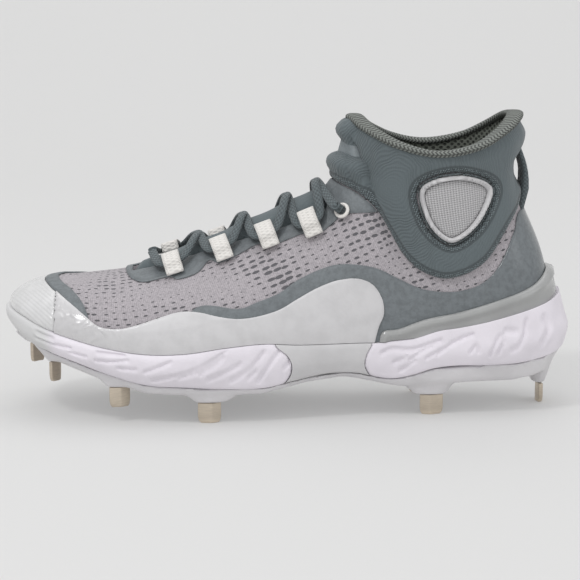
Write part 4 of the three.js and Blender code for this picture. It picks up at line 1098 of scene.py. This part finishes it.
def skin_spot(at, across, side):
    """Place, outward, forward and inward directions above a plan place."""
    target = np.array([place_x(at), side * across * BALL_WIDTH])
    s, v = float(row_at(at)), 0.85
    step = 0.01
    for _ in range(20):
        here = rib_point(side * s, v)
        by_s = (rib_point(side * (s + step), v) - here) / step
        by_v = (rib_point(side * s, min(v + step, 1)) - here) / step
        miss = target - here[:2]
        turn = by_s[0] * by_v[1] - by_s[1] * by_v[0]
        s += (miss[0] * by_v[1] - miss[1] * by_v[0]) / turn
        v = min(max(v + (miss[1] * by_s[0] - miss[0] * by_s[1]) / turn, 0.4), 0.98)
    normal = side_normal(np.float64(side * s), v)
    along = rib_point(side * (s + step), v) - rib_point(side * (s - step), v)
    along = unit(along - normal * (along @ normal))
    return rib_point(side * s, v), normal, along, unit(np.cross(along, normal) * side)


# Lacing: room for the lace in a loop, what the loops sit on, and the lace's middle above the skin
LACE_THICKNESS = 2.8
WEBBING_THICKNESS = 1.1
LOOP_INNER = LACE_THICKNESS + 4 * CLEARANCE
LOOP_SEAT = OVERLAY[1] + 3 * CLEARANCE
LACE_LIFT = LOOP_SEAT + WEBBING_THICKNESS + LOOP_INNER / 2
# The lace runs straight for this far to both sides of a loop, and lies higher where runs cross
LACE_STRAIGHT = 6.0
CROSSING_LIFT = LACE_LIFT + 1.2
CROSSING_HALF = 0.02
FIRST_CROSSING = LOOP_PLACES[0][0] - 0.034
LAST_CROSSING = EYELET_PLACE[0] - 0.028
WEBBING_HALF_WIDTH = 4.7
EYELET_RADIUS = 4.2
EYELET_HEIGHT = 1.4
EYELET_RING = (3.3, 0.95)
# How a lace dives into its eyelet: share of the radius, share of the lace's thickness above it
EYELET_DIVE = ((1.25, 0.95), (0.4, 0.8), (0.0, 0.1))


def lace_route(first_side):
    """The route of one lace run from the front bar to a top eyelet, with its upward directions."""
    points, ups = [], []

    def pass_by(spot, lift, along=0.0):
        point, normal, forward, _ = spot
        points.append(point + normal * lift + forward * along)
        ups.append(normal)

    side = first_side
    pass_by(skin_spot(FIRST_CROSSING, CROSSING_HALF, side), CROSSING_LIFT)
    nexts = [at for at, _ in LOOP_PLACES[1:]] + [LAST_CROSSING]
    for (at, across), after in zip(LOOP_PLACES, nexts):
        spot = skin_spot(at, across, side)
        pass_by(spot, LACE_LIFT, -LACE_STRAIGHT)
        pass_by(spot, LACE_LIFT, LACE_STRAIGHT)
        pass_by(skin_spot((at + after) / 2 + 0.006, CROSSING_HALF, side), CROSSING_LIFT)
        side = -side
    point, normal, _, inward = skin_spot(*EYELET_PLACE, side)
    rim = point + normal * (LOOP_SEAT + EYELET_HEIGHT)
    for reach, lift in EYELET_DIVE:
        points.append(rim + inward * reach * EYELET_RADIUS + normal * lift * LACE_THICKNESS)
        ups.append(normal + inward * (1 - reach / 1.3) * 0.8)
    return np.array(points), np.array(ups)


def flat_oval(half_width, half_height, count, power=2.6):
    """A rounded section; the higher the power, the squarer."""
    angle = np.linspace(0, 2 * math.pi, count, endpoint=False)
    c, s = np.cos(angle), np.sin(angle)
    return np.stack([half_width * np.sign(c) * np.abs(c) ** (2 / power),
                     half_height * np.sign(s) * np.abs(s) ** (2 / power)], 1)


def colour_property(name, description, code):
    return FloatVectorProperty(name=name, description=description, subtype="COLOR", size=4, min=0,
                               max=1, default=linear(code))


def length_property(name, description, millimetres):
    return FloatProperty(name=name, description=description, unit="LENGTH", precision=5,
                         default=millimetres * MM)


class CleatColours(bpy.types.PropertyGroup):
    mesh: colour_property("Mesh", "Upper's mesh", "#bab4b8")
    mesh_hole: colour_property("Mesh holes", "Dark slots of the mesh", "#5e5d61")
    knit: colour_property("Knit", "Cuff and tongue knit", "#636d70")
    skin: colour_property("Overlay", "Grained overlays", "#73797c")
    wing: colour_property("Wing film", "Film on the sides", "#cbcacb")
    toe: colour_property("Toe film", "Film over the toe", "#d8d8d8")
    foam: colour_property("Foam", "Two foam pods", "#e9e4eb")
    bridge: colour_property("Bridge", "Piece between the pods", "#cecdce")
    plate: colour_property("Plate", "Outsole plate", "#d9d7d9")
    clip: colour_property("Clip", "Heel clip", "#a3a4a3")
    steel: colour_property("Steel", "Studs", "#cfc3b2")
    tape: colour_property("Webbing", "Lace loops and eyelets", "#eae7e2")
    lace: colour_property("Lace", "Laces", "#636d70")
    lining: colour_property("Lining", "Inside of the collar", "#696d65")
    binding: colour_property("Binding", "Knitted binding round the collar", "#878b86")
    tab: colour_property("Tab", "Woven tab across the front of the cuff", "#798184")
    insole: colour_property("Insole", "Insole cloth", "#8b8d8c")
    floor: colour_property("Floor", "Sweep under and behind the shoe", "#bcbcbb")


class CleatSizes(bpy.types.PropertyGroup):
    columns: IntProperty(name="Columns", description="Columns of the grid along each side", default=240)
    rows: IntProperty(name="Rows", description="Rows of the grid up the side", default=78)
    lace_width: length_property("Lace width", "Width of the flat oval lace", 4.9)
    lace_height: length_property("Lace height", "Thickness of the lace", 2.4)
    binding_height: length_property("Binding height", "Height of the collar binding", 3.5)
    tongue_rise: length_property("Tongue rise", "How far the tongue swells into the throat", 4.6)


def tone(name):
    return tuple(getattr(bpy.context.scene.cleat_colours, name))


def sizes():
    return bpy.context.scene.cleat_sizes


MADE = {}


def made(name, maker):
    """A grid or material that several pieces share, made once."""
    if name not in MADE:
        MADE[name] = maker()
    return MADE[name]


def grid():
    return made("grid", lambda: last_grid(sizes().columns, sizes().rows))


def skin_material():
    """Skin of the overlays, glossy over the heel counter."""
    return made("skin", lambda: grained_skin(tone("skin"), gloss_from=HEEL_COUNTER))


def tape_material():
    return made("tape", lambda: woven_tape(
        tone("tape"), "woven_polyester_webbing", (0.9, 0.04), contrast=0.18))


# Where the skin turns glossy, and the places that the ridges of the two knits run round, in mm of
# the frame
HEEL_COUNTER = 100.0
CUFF_SWIRL = (58.0, -26.0, 130.0)
TONGUE_SWIRL = (10.0, 0.0, 190.0)


class CleatPiece:
    bl_options = {"REGISTER", "UNDO"}


# Columns and rows of the upper's own grid, coarser because its shell has two skins
SHELL_GRID = (190, 60)


class CLEAT_OT_upper(CleatPiece, bpy.types.Operator):
    """Mesh upper with its lining, open at the collar and the throat"""
    bl_idname = "cleat.upper"
    bl_label = "Upper"

    def execute(self, context):
        whole = last_grid(*SHELL_GRID, foot=True)
        patch = cut_patch(whole, -throat_field(whole[0]))
        cloth = engineered_mesh(tone("mesh"), tone("mesh_hole"))
        # The lining's holes are painted shade, at a quarter of its colour
        lining = diamond_lining(tone("lining"), toned(tone("lining"), 0.25))
        piece = skin_piece("upper_shell", patch, -UPPER_WALL, 0.0, [cloth, lining], "upper_mesh",
                           ["upper"], soft=0.1, lip=1.0)
        first = len(patch[1])
        for polygon in piece.data.polygons[first:2 * first]:
            polygon.material_index = 1
        return {"FINISHED"}


# The tongue's thickness under the upper, and its start above the feather line at the front
TONGUE_THICKNESS, TONGUE_START = 3.0, 8


class CLEAT_OT_tongue(CleatPiece, bpy.types.Operator):
    """Padded tongue that swells into the throat"""
    bl_idname = "cleat.tongue"
    bl_label = "Tongue"

    def execute(self, context):
        data = grid()[0]
        at, half = np.array(TONGUE_HALF).T
        ends = np.minimum(data[:, 0] - place_x(at[0]), place_x(at[-1]) - data[:, 0])
        width = np.interp(data[:, 0], place_x(at), half * BALL_WIDTH)
        field = np.minimum(width - np.abs(data[:, 1]), ends)
        field = np.minimum(field, data[:, 2] - SOLE_HEIGHT - TONGUE_START)
        patch = cut_patch(grid(), field)
        # The tongue swells over its first few mm inside the throat's edge, in slow waves
        edge_gap, edge_width, wave_height, wave_length = 0.4, 7.0, 0.35, 25.0
        reach = np.clip((throat_field(patch[0]) - edge_gap) / edge_width, 0, 1)
        waves = wave_height * np.sin(patch[0][:, 0] * 2 * math.pi / wave_length)
        low = -UPPER_WALL - CLEARANCE
        outer = low + np.sin(reach * math.pi / 2) * (sizes().tongue_rise / MM + waves)
        knit = padded_knit(tone("knit"), TONGUE_SWIRL)
        piece = skin_piece("tongue_pad", patch, low - TONGUE_THICKNESS, outer, [knit], "knit",
                           ["tongue"], soft=2.0, lip=0.4)
        return {"FINISHED"}


TRIM_WIDTH = 7


class CLEAT_OT_toe(CleatPiece, bpy.types.Operator):
    """Glossy film over the toe and the dark band behind it"""
    bl_idname = "cleat.toe"
    bl_label = "Toe cap and trim"

    def execute(self, context):
        data = grid()[0]
        behind = toe_edge_field(data)
        seam = place_x(WING_TOP[0][0]) - CLEARANCE
        cap = cut_patch(grid(), np.minimum(-behind, seam - data[:, 0]))
        film = gloss_film(tone("toe"), "ribbed_thermoplastic_film", rib_mm=2.6)
        skin_piece("toe_cap_film", cap, *OVERLAY, [film], "film", ["toe_cap"], soft=0.8)
        field = np.minimum(behind - CLEARANCE, TRIM_WIDTH + CLEARANCE - behind)
        skin_piece("toe_trim_band", cut_patch(grid(), field), *OVERLAY, [skin_material()],
                   "overlay_skin", ["toe_trim"], soft=0.8)
        return {"FINISHED"}


class CLEAT_OT_sides(CleatPiece, bpy.types.Operator):
    """Satin wings, the dark quarter overlay and the eyestay"""
    bl_idname = "cleat.sides"
    bl_label = "Side overlays"

    def execute(self, context):
        data = grid()[0]
        film = gloss_film(tone("wing"), "satin_thermoplastic_film", crease_from=-72.0)
        for side, name in SIDES:
            wing = np.minimum(below(data, WING_TOP), on_side(data, side))
            self.cover(f"wing_film_{name}", wing, FILM, film, "film", f"wing_{name}")
        quarter = below(data, QUARTER_TOP)
        self.cover("quarter_skin", quarter, OVERLAY, skin_material(), "overlay_skin", "quarter_overlay")
        band = np.minimum(above(data, EYESTAY_LOW), -above(data, CUFF_LOW) - 2 * CLEARANCE)
        band = np.minimum(band, -throat_field(data))
        self.cover("eyestay_band", band, OVERLAY, skin_material(), "overlay_skin", "eyestay")
        return {"FINISHED"}

    def cover(self, name, field, faces, material, slot, node):
        skin_piece(name, cut_patch(grid(), field), *faces, [material], slot, [node], soft=0.9)


class CLEAT_OT_clip(CleatPiece, bpy.types.Operator):
    """Moulded clip round the heel"""
    bl_idname = "cleat.clip"
    bl_label = "Heel clip"

    def execute(self, context):
        patch = cut_patch(grid(), below(grid()[0], CLIP_TOP))
        data = patch[0]
        face = clip_face(data[:, ROW], np.maximum(data[:, UP], 0))
        # A rib along the upper edge, and below it a shallow channel
        face = face + 0.9 * bump(data[:, EDGE], 2.6, 1.8) - 0.3 * bump(data[:, EDGE], 6.5, 3.0)
        gloss = moulded(tone("clip"), "moulded_glossy_polyurethane", 0.2, 1.0, 0.03, coat=0.6)
        skin_piece("heel_clip_shell", patch, FILM[0], face, [gloss], "clip", ["heel_clip"], soft=1.2)
        return {"FINISHED"}


class CLEAT_OT_cuff(CleatPiece, bpy.types.Operator):
    """Padded knit cuff with two rolls across its front and a tab between them"""
    bl_idname = "cleat.cuff"
    bl_label = "Cuff"

    def execute(self, context):
        data = grid()[0]
        window = closed_region(data, pod_line())
        patch = cut_patch(grid(), np.minimum(above(data, CUFF_LOW), -window - CLEARANCE))
        rows = patch[0]
        x, z, s, v, edge = (rows[:, i] for i in (0, 2, ROW, UP, EDGE))
        face = cuff_face(s, np.maximum(v, 0))
        # Thinner under the binding, behind the heel and then at the front, and the two rolls
        face *= 1 - 0.8 * smoothstep(v, 0.93, 1.0) * bump(s, LAST_ROW, 5)
        front = 1 - smoothstep(x, FRONT_ROLLS_END - 6, FRONT_ROLLS_END)
        face += front * sum(out * bump(self.level(rows), up, half) for up, half, out in FRONT_ROLLS)
        face *= 1 - 0.6 * front * smoothstep(z, 139.0, 146.0)
        puff = 0.5 * smoothstep(edge, 2.0, 12.0) * (1 - smoothstep(v, 0.9, 1.0))
        knit = padded_knit(tone("knit"), CUFF_SWIRL)
        piece = skin_piece("cuff_pad", patch, CLEARANCE, face + puff, [knit], "knit", ["cuff"],
                           soft=4.5, lip=0.35)
        low, high, rear = CUFF_TAB
        level = self.level(data)
        field = np.minimum(level - low, high - level)
        field = np.minimum(field, np.minimum(rear - data[:, 0], above(data, CUFF_LOW) - 1.0))
        tab = grained_skin(tone("tab"), "smooth_woven_tab")
        skin_piece("cuff_tab", cut_patch(grid(), field), CLEARANCE, TAB_FACE, [tab], "knit", soft=0.5)
        return {"FINISHED"}

    def level(self, rows):
        """Height above the seats, counted along the slope of the rolls."""
        return rows[:, 2] + ROLL_SLOPE * (rows[:, 0] - ROLL_START)


class CLEAT_OT_windows(CleatPiece, bpy.types.Operator):
    """Framed ankle windows: knit edging, moulded rim and woven panel"""
    bl_idname = "cleat.windows"
    bl_label = "Ankle windows"

    def execute(self, context):
        data = grid()[0]
        window = closed_region(data, pod_line())
        rim = moulded(tone("wing"), "moulded_silicone_rim", 0.42, 1.2, 0.05)
        weave = woven_tape(tone("wing"), "plain_woven_panel", (0.8, 0.8), math.pi / 4, 0.55)
        edging = woven_tape(tone("knit"), "two_yarn_knit_edging", (0.7, 0.7), 0.4, 0.6)
        # Inwards from the window's outline: the edging's end, the rim, and the panel's start
        edging_end, rim_start, rim_end, panel_start = 1.3, 1.35, 3.8, 3.85
        for side, name in SIDES:
            here = np.minimum(window, on_side(data, side))
            patch = cut_patch(grid(), np.minimum(here, edging_end - window))
            skin_piece(f"window_edging_{name}", patch, CLEARANCE, 4.0, [edging], "pod_rim",
                       soft=1.1, lip=0.5)
            patch = cut_patch(grid(), np.minimum(here - rim_start, rim_end - window))
            skin_piece(f"window_rim_{name}", patch, CLEARANCE, CLEARANCE + 4.2, [rim], "pod_rim",
                       [f"pod_frame_{name}"], soft=1.3, lip=0.6)
            patch = cut_patch(grid(), here - panel_start)
            dome = 2.3 + 0.7 * smoothstep(patch[0][:, EDGE], 0, 9)
            skin_piece(f"window_panel_{name}", patch, CLEARANCE, dome, [weave], "pod_weave",
                       [f"pod_panel_{name}"], soft=0.6)
        return {"FINISHED"}


# Middle of the binding from the collar's rim: outwards, back inwards behind the heel, and upwards
BINDING_OUT, BINDING_HEEL_IN, BINDING_UP = 0.85, 2.8, 1.5
BINDING_HALF_WIDTH = 4.3
BINDING_LOOPS = 0.16 * 0.35


class CLEAT_OT_binding(CleatPiece, bpy.types.Operator):
    """Knitted binding round the collar"""
    bl_idname = "cleat.binding"
    bl_label = "Collar binding"

    def execute(self, context):
        count, across = 520, 28
        rows = np.linspace(COLLAR_ROW, LAST_ROW, count // 2)
        p = np.concatenate([-rows, rows[::-1][1:-1]])
        length = run_length(rim_point(p))
        even = np.linspace(0, length[-1], count, endpoint=False)
        p = np.interp(even, length, np.unwrap(p, period=2 * LAST_ROW))
        p = (p + LAST_ROW) % (2 * LAST_ROW) - LAST_ROW
        away = BINDING_OUT - BINDING_HEEL_IN * bump(np.abs(p), LAST_ROW, 4)
        centre = rim_point(p) + rim_out(p) * away[:, None]
        centre[:, 2] += BINDING_UP
        for _ in range(40):
            centre = (np.roll(centre, -1, axis=0) + 2 * centre + np.roll(centre, 1, axis=0)) / 4
        lift = np.tile([0.0, 0.0, 1.0], (len(p), 1))
        section = flat_oval(BINDING_HALF_WIDTH, sizes().binding_height / MM / 2, across)
        # Small loops of yarn stand out of the section
        angle = np.arange(across) / across * 2 * math.pi
        loops = np.arange(count)[:, None] * math.pi / 2.5 + 1.2 * np.sin(angle * 4)[None]
        sections = section[None] * (1 + BINDING_LOOPS * np.abs(np.sin(loops))[..., None])
        piece = right_way_out(sweep("binding_knit", centre, lift, sections, closed=True))
        knit = chevron_binding(toned(tone("binding"), 0.3), tone("binding"))
        finish(piece, [knit], ["collar_binding"])
        return {"FINISHED"}


class CLEAT_OT_lacing(CleatPiece, bpy.types.Operator):
    """Flat oval laces, webbing loops and top eyelets"""
    bl_idname = "cleat.lacing"
    bl_label = "Lacing"

    def execute(self, context):
        braid = woven_tape(tone("lace"), "braided_polyester_lace", (1.5, 0.0625), contrast=0.55)
        section = flat_oval(sizes().lace_width / MM / 2, sizes().lace_height / MM / 2, 16)
        for side, name in SIDES:
            route = lace_route(side)
            steps = np.linspace(0, len(route[0]) - 1, 300)
            path, ups = (catmull(with_ends(table), steps) for table in route)
            piece = right_way_out(sweep(f"lace_run_{name}", path, ups, section))
            # Both runs are one node in the frame, and the first run takes its place
            finish(piece, [braid], ["laces"] if side < 0 else [])
            for i, place in enumerate(LOOP_PLACES):
                self.loop(place, side, f"webbing_loop_{name}_{i + 1}", f"lace_loop_{name}_{i + 1}")
            self.eyelet(side, f"eyelet_ring_{name}", f"eyelet_{name}")
        return {"FINISHED"}

    def loop(self, place, side, name, node):
        """Webbing folded round the lace, its two ends sewn down beside it."""
        point, normal, _, inward = skin_spot(*place, side)
        low = LOOP_SEAT - 0.1
        top = LOOP_SEAT + LOOP_INNER + 1.5 * WEBBING_THICKNESS
        corners = np.array([
            (-8.6, low + 0.55), (-5.0, low + 0.6), (4.0, low + 0.55), (5.0, (low + top) / 2),
            (4.1, top - 0.1), (-3.6, top), (-6.4, low + 2.9), (-8.7, low + 1.7),
        ])
        line = closed_line(corners, 56)
        path = point + inward * line[:, :1] + normal * line[:, 1:]
        run = np.roll(line, -1, axis=0) - np.roll(line, 1, axis=0)
        square = np.stack([run[:, 1], -run[:, 0]], 1)
        ups = inward * square[:, :1] + normal * square[:, 1:]
        section = flat_oval(WEBBING_HALF_WIDTH, WEBBING_THICKNESS / 2, 20, 6.0)
        piece = right_way_out(sweep(name, path, ups, section, closed=True))
        finish(piece, [tape_material()], [node])

    def eyelet(self, side, name, node):
        point, normal, _, _ = skin_spot(*EYELET_PLACE, side)
        radius, thickness = (part * MM for part in EYELET_RING)
        rest_all()
        bpy.ops.mesh.primitive_torus_add(
            major_radius=radius, minor_radius=thickness, major_segments=48, minor_segments=14,
            location=(point + normal * (LOOP_SEAT + EYELET_HEIGHT / 2) + SHIFT) * MM,
            rotation=Vector(normal).to_track_quat("Z", "Y").to_euler())
        piece = bpy.context.object
        piece.name = name
        bpy.ops.object.transform_apply(location=True, rotation=True, scale=True)
        ring = made("ring", lambda: moulded(tone("tape"), "moulded_nylon_ring", 0.4))
        finish(piece, [ring], [node])


# The insole's edge: inwards from the upper's wall, and up from the foam
INSOLE_SECTION = ((0, 0), (0, 2.6), (0.4, 3.6), (1.4, 4.0), (4, 3.9))


class CLEAT_OT_sole(CleatPiece, bpy.types.Operator):
    """Two foam pods, the bridge between them, the plate and the insole"""
    bl_idname = "cleat.sole"
    bl_label = "Sole"

    def execute(self, context):
        steps = line_steps(SOLE_COLUMNS_ALONG)[0]
        front, rear = side_line(BRIDGE_FRONT, 8), side_line(BRIDGE_REAR, 8)
        foam = moulded(tone("foam"), "moulded_eva_foam", 0.55, 1.1, 0.05, grey_to=-126.0)
        skin = moulded(tone("bridge"), "moulded_smooth_rubber", 0.42, 1.6, 0.04)
        pods = (
            ("foam_forefoot", "midsole_forefoot", FOREFOOT_GROOVES, front, place_x(-0.2)),
            ("foam_heel", "midsole_heel", HEEL_GROOVES, rear, place_x(1.2)),
        )
        for name, node, grooves, end, far in pods:
            piece = sole_stack(name, steps, foam_wall, foam_carving(grooves, end))
            keep_prism(piece, [*map(tuple, end), (far, end[-1][1]), (far, end[0][1])])
            finish(piece, [foam], [node])
        middle = sole_stack("bridge_skin", steps, foam_wall)
        gap = np.array([CLEARANCE, 0])
        keep_prism(middle, [*map(tuple, front + gap), *map(tuple, (rear - gap)[::-1])])
        finish(middle, [skin], ["midfoot_bridge"])
        self.plate()
        self.insole(steps)
        return {"FINISHED"}

    def plate(self):
        piece = copy_of("outsole_plate", "plate_moulding")
        modifier(piece, "REMESH", mode="VOXEL", voxel_size=1.3 * MM, adaptivity=0.0)
        modifier(piece, "SMOOTH", factor=0.5, iterations=5)
        apply_all(piece)
        nylon = moulded(tone("plate"), "glass_filled_nylon_plate", 0.4, 0.9, 0.05)
        finish(piece, [nylon], ["outsole_plate"])

    def insole(self, steps):
        edge = -UPPER_WALL - CLEARANCE

        def section(s):
            low = SOLE_HEIGHT * value("bed", s) + CLEARANCE
            return section_points([(edge - inward, low + up) for inward, up in INSOLE_SECTION])

        piece = sole_stack("insole_liner", steps[3:-3:2], section)
        cloth = moulded(tone("insole"), "brushed_lining_cloth", 0.9, 1.6, 0.15)
        finish(piece, [cloth], ["insole"])


class CLEAT_OT_studs(CleatPiece, bpy.types.Operator):
    """Nine bent steel blades"""
    bl_idname = "cleat.studs"
    bl_label = "Studs"

    def execute(self, context):
        steel = blade_steel(tone("steel"))
        for node in sorted(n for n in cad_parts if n.startswith("stud_")):
            piece = copy_of(node, node.replace("stud_", "blade_"))
            modifier(piece, "BEVEL", width=0.32 * MM, segments=3, limit_method="ANGLE",
                     angle_limit=math.radians(25))
            apply_all(piece)
            finish(piece, [steel], [node], angle=60)
        return {"FINISHED"}


# Pull loop up the heel: share of the height, how far its middle stands off the last
LOOP_STAND = (
    (0.49, -2.2), (0.52, -0.4), (0.56, 2.2), (0.60, 4.4), (0.65, 6.0), (0.70, 6.8), (0.74, 6.8),
    (0.78, 6.2), (0.82, 5.0), (0.87, 3.0),
)
# Share of the height, share of the loop's full thickness
LOOP_PADDING = ((0.49, 0.9), (0.60, 1.2), (0.72, 0.8), (0.87, 0.7))


class CLEAT_OT_pull_loop(CleatPiece, bpy.types.Operator):
    """Padded pull loop behind the heel"""
    bl_idname = "cleat.pull_loop"
    bl_label = "Pull loop"

    def execute(self, context):
        v = np.linspace(LOOP_STAND[0][0], LOOP_STAND[-1][0], 60)
        p = np.full_like(v, LAST_ROW)
        normal = skin_normal(p, v)
        path = rib_point(p, v) + normal * np.interp(v, *np.array(LOOP_STAND).T)[:, None]
        padding = np.interp(v, *np.array(LOOP_PADDING).T)
        sections = flat_oval(9.0, 2.0, 32, 4.0) * np.stack([np.ones_like(v), padding], 1)[:, None]
        piece = right_way_out(sweep("pull_loop_tape", path, normal, sections))
        tape = woven_tape(tone("knit"), "ribbed_woven_tape", (1.1, 0.05), contrast=0.45)
        finish(piece, [tape], ["pull_loop"])
        return {"FINISHED"}


# Lamps, all soft discs: name, place, aim, diameter in metres, power in watts
SUBJECT = (0, 0, 0.06)
LAMPS = (
    ("key", (-0.7, -1.5, 2.3), SUBJECT, 2.2, 7.5),
    ("top", (0.2, 0.5, 2.6), SUBJECT, 2.8, 12.5),
    ("side", (2.2, -1.0, 1.2), SUBJECT, 1.6, 5.0),
    ("fill", (0.1, -1.9, 0.4), SUBJECT, 1.5, 2.0),
    ("glint", (-0.8, -0.9, 1.6), SUBJECT, 0.3, 7.5),
    ("backdrop", (0, 1.5, 1.9), (0, 1.6, 0), 1.6, 3.8),
)
WORLD_COLOUR, WORLD_STRENGTH = (0.93, 0.93, 0.945, 1), 0.74
# The sweep in side view: front edge, start of its curve, radius, height, and gap under the studs
SWEEP_FRONT, SWEEP_BEND, SWEEP_RADIUS, SWEEP_TOP, SWEEP_GAP = -4.0, 1.0, 1.2, 4.0, 0.0002
SWEEP_HALF_WIDTH = 5.0
# The view of the photo: what it looks at, turn and height in degrees, distance and lens in mm
VIEW_TARGET = (0.0009, 0.0005, 0.0621)
VIEW_TURN, VIEW_HEIGHT, VIEW_DISTANCE, VIEW_LENS = -3.3, 10.0, 1.1, 127.3


class CLEAT_OT_stage(CleatPiece, bpy.types.Operator):
    """Pale seamless sweep, soft lamps and the camera"""
    bl_idname = "cleat.stage"
    bl_label = "Stage"

    def execute(self, context):
        self.sweep()
        world = bpy.data.worlds.new("studio")
        context.scene.world = world
        world.use_nodes = True
        back = world.node_tree.nodes["Background"]
        back.inputs["Color"].default_value = WORLD_COLOUR
        back.inputs["Strength"].default_value = WORLD_STRENGTH
        for lamp in LAMPS:
            self.lamp(*lamp)
        self.camera(context.scene)
        context.scene.view_settings.view_transform = "Standard"
        return {"FINISHED"}

    def sweep(self):
        turn = np.linspace(0, math.pi / 2, 24)[1:]
        curve = [(SWEEP_BEND + SWEEP_RADIUS * math.sin(a), SWEEP_RADIUS - SWEEP_RADIUS * math.cos(a))
                 for a in turn]
        profile = [(SWEEP_FRONT, 0.0), (SWEEP_BEND, 0.0), *curve,
                   (SWEEP_BEND + SWEEP_RADIUS, SWEEP_TOP)]
        points = [(x, y, z - SWEEP_GAP) for x in (-SWEEP_HALF_WIDTH, SWEEP_HALF_WIDTH)
                  for y, z in profile]
        n = len(profile)
        faces = [(i, i + n, i + n + 1, i + 1) for i in range(n - 1)]
        floor = object_from("paper_sweep", points, faces, world=True)
        floor.data.shade_smooth()
        floor.data.materials.append(studio_floor(tone("floor")))

    def lamp(self, name, place, aim, size, power):
        data = bpy.data.lights.new(name, "AREA")
        data.shape = "DISK"
        data.size = size
        data.energy = power
        lamp = new_object(name, data)
        lamp.location = place
        lamp.rotation_euler = (Vector(place) - Vector(aim)).to_track_quat("Z", "Y").to_euler()

    def camera(self, scene):
        turn, height = math.radians(VIEW_TURN), math.radians(VIEW_HEIGHT)
        back = Vector((math.sin(turn) * math.cos(height), -math.cos(turn) * math.cos(height),
                       math.sin(height)))
        data = bpy.data.cameras.new("view")
        data.lens = VIEW_LENS
        data.clip_start = 0.01
        camera = new_object("view", data)
        camera.location = Vector(VIEW_TARGET) + back * VIEW_DISTANCE
        camera.rotation_euler = back.to_track_quat("Z", "Y").to_euler()
        scene.camera = camera


OPERATORS = (
    CLEAT_OT_stage, CLEAT_OT_upper, CLEAT_OT_tongue, CLEAT_OT_toe, CLEAT_OT_sides, CLEAT_OT_clip,
    CLEAT_OT_cuff, CLEAT_OT_windows, CLEAT_OT_binding, CLEAT_OT_lacing, CLEAT_OT_sole,
    CLEAT_OT_studs, CLEAT_OT_pull_loop,
)


class CLEAT_PT_sidebar(bpy.types.Panel):
    """Lists the pieces of the cleat"""
    bl_idname = "CLEAT_PT_sidebar"
    bl_label = "Baseball cleat"
    bl_space_type = "VIEW_3D"
    bl_region_type = "UI"
    bl_category = "Cleat"

    def draw(self, context):
        for operator in OPERATORS:
            self.layout.operator(operator.bl_idname)
        for group in (context.scene.cleat_sizes, context.scene.cleat_colours):
            for name in group.__annotations__:
                self.layout.prop(group, name)


CLASSES = (CleatColours, CleatSizes, *OPERATORS, CLEAT_PT_sidebar)


def register():
    for cls in CLASSES:
        bpy.utils.register_class(cls)
    bpy.types.Scene.cleat_colours = PointerProperty(type=CleatColours)
    bpy.types.Scene.cleat_sizes = PointerProperty(type=CleatSizes)


def unregister():
    del bpy.types.Scene.cleat_sizes
    del bpy.types.Scene.cleat_colours
    for cls in reversed(CLASSES):
        bpy.utils.unregister_class(cls)


def main():
    register()
    for operator in OPERATORS:
        group, name = operator.bl_idname.split(".")
        rest_all()
        getattr(getattr(bpy.ops, group), name)()


if __name__ == "__main__":
    main()
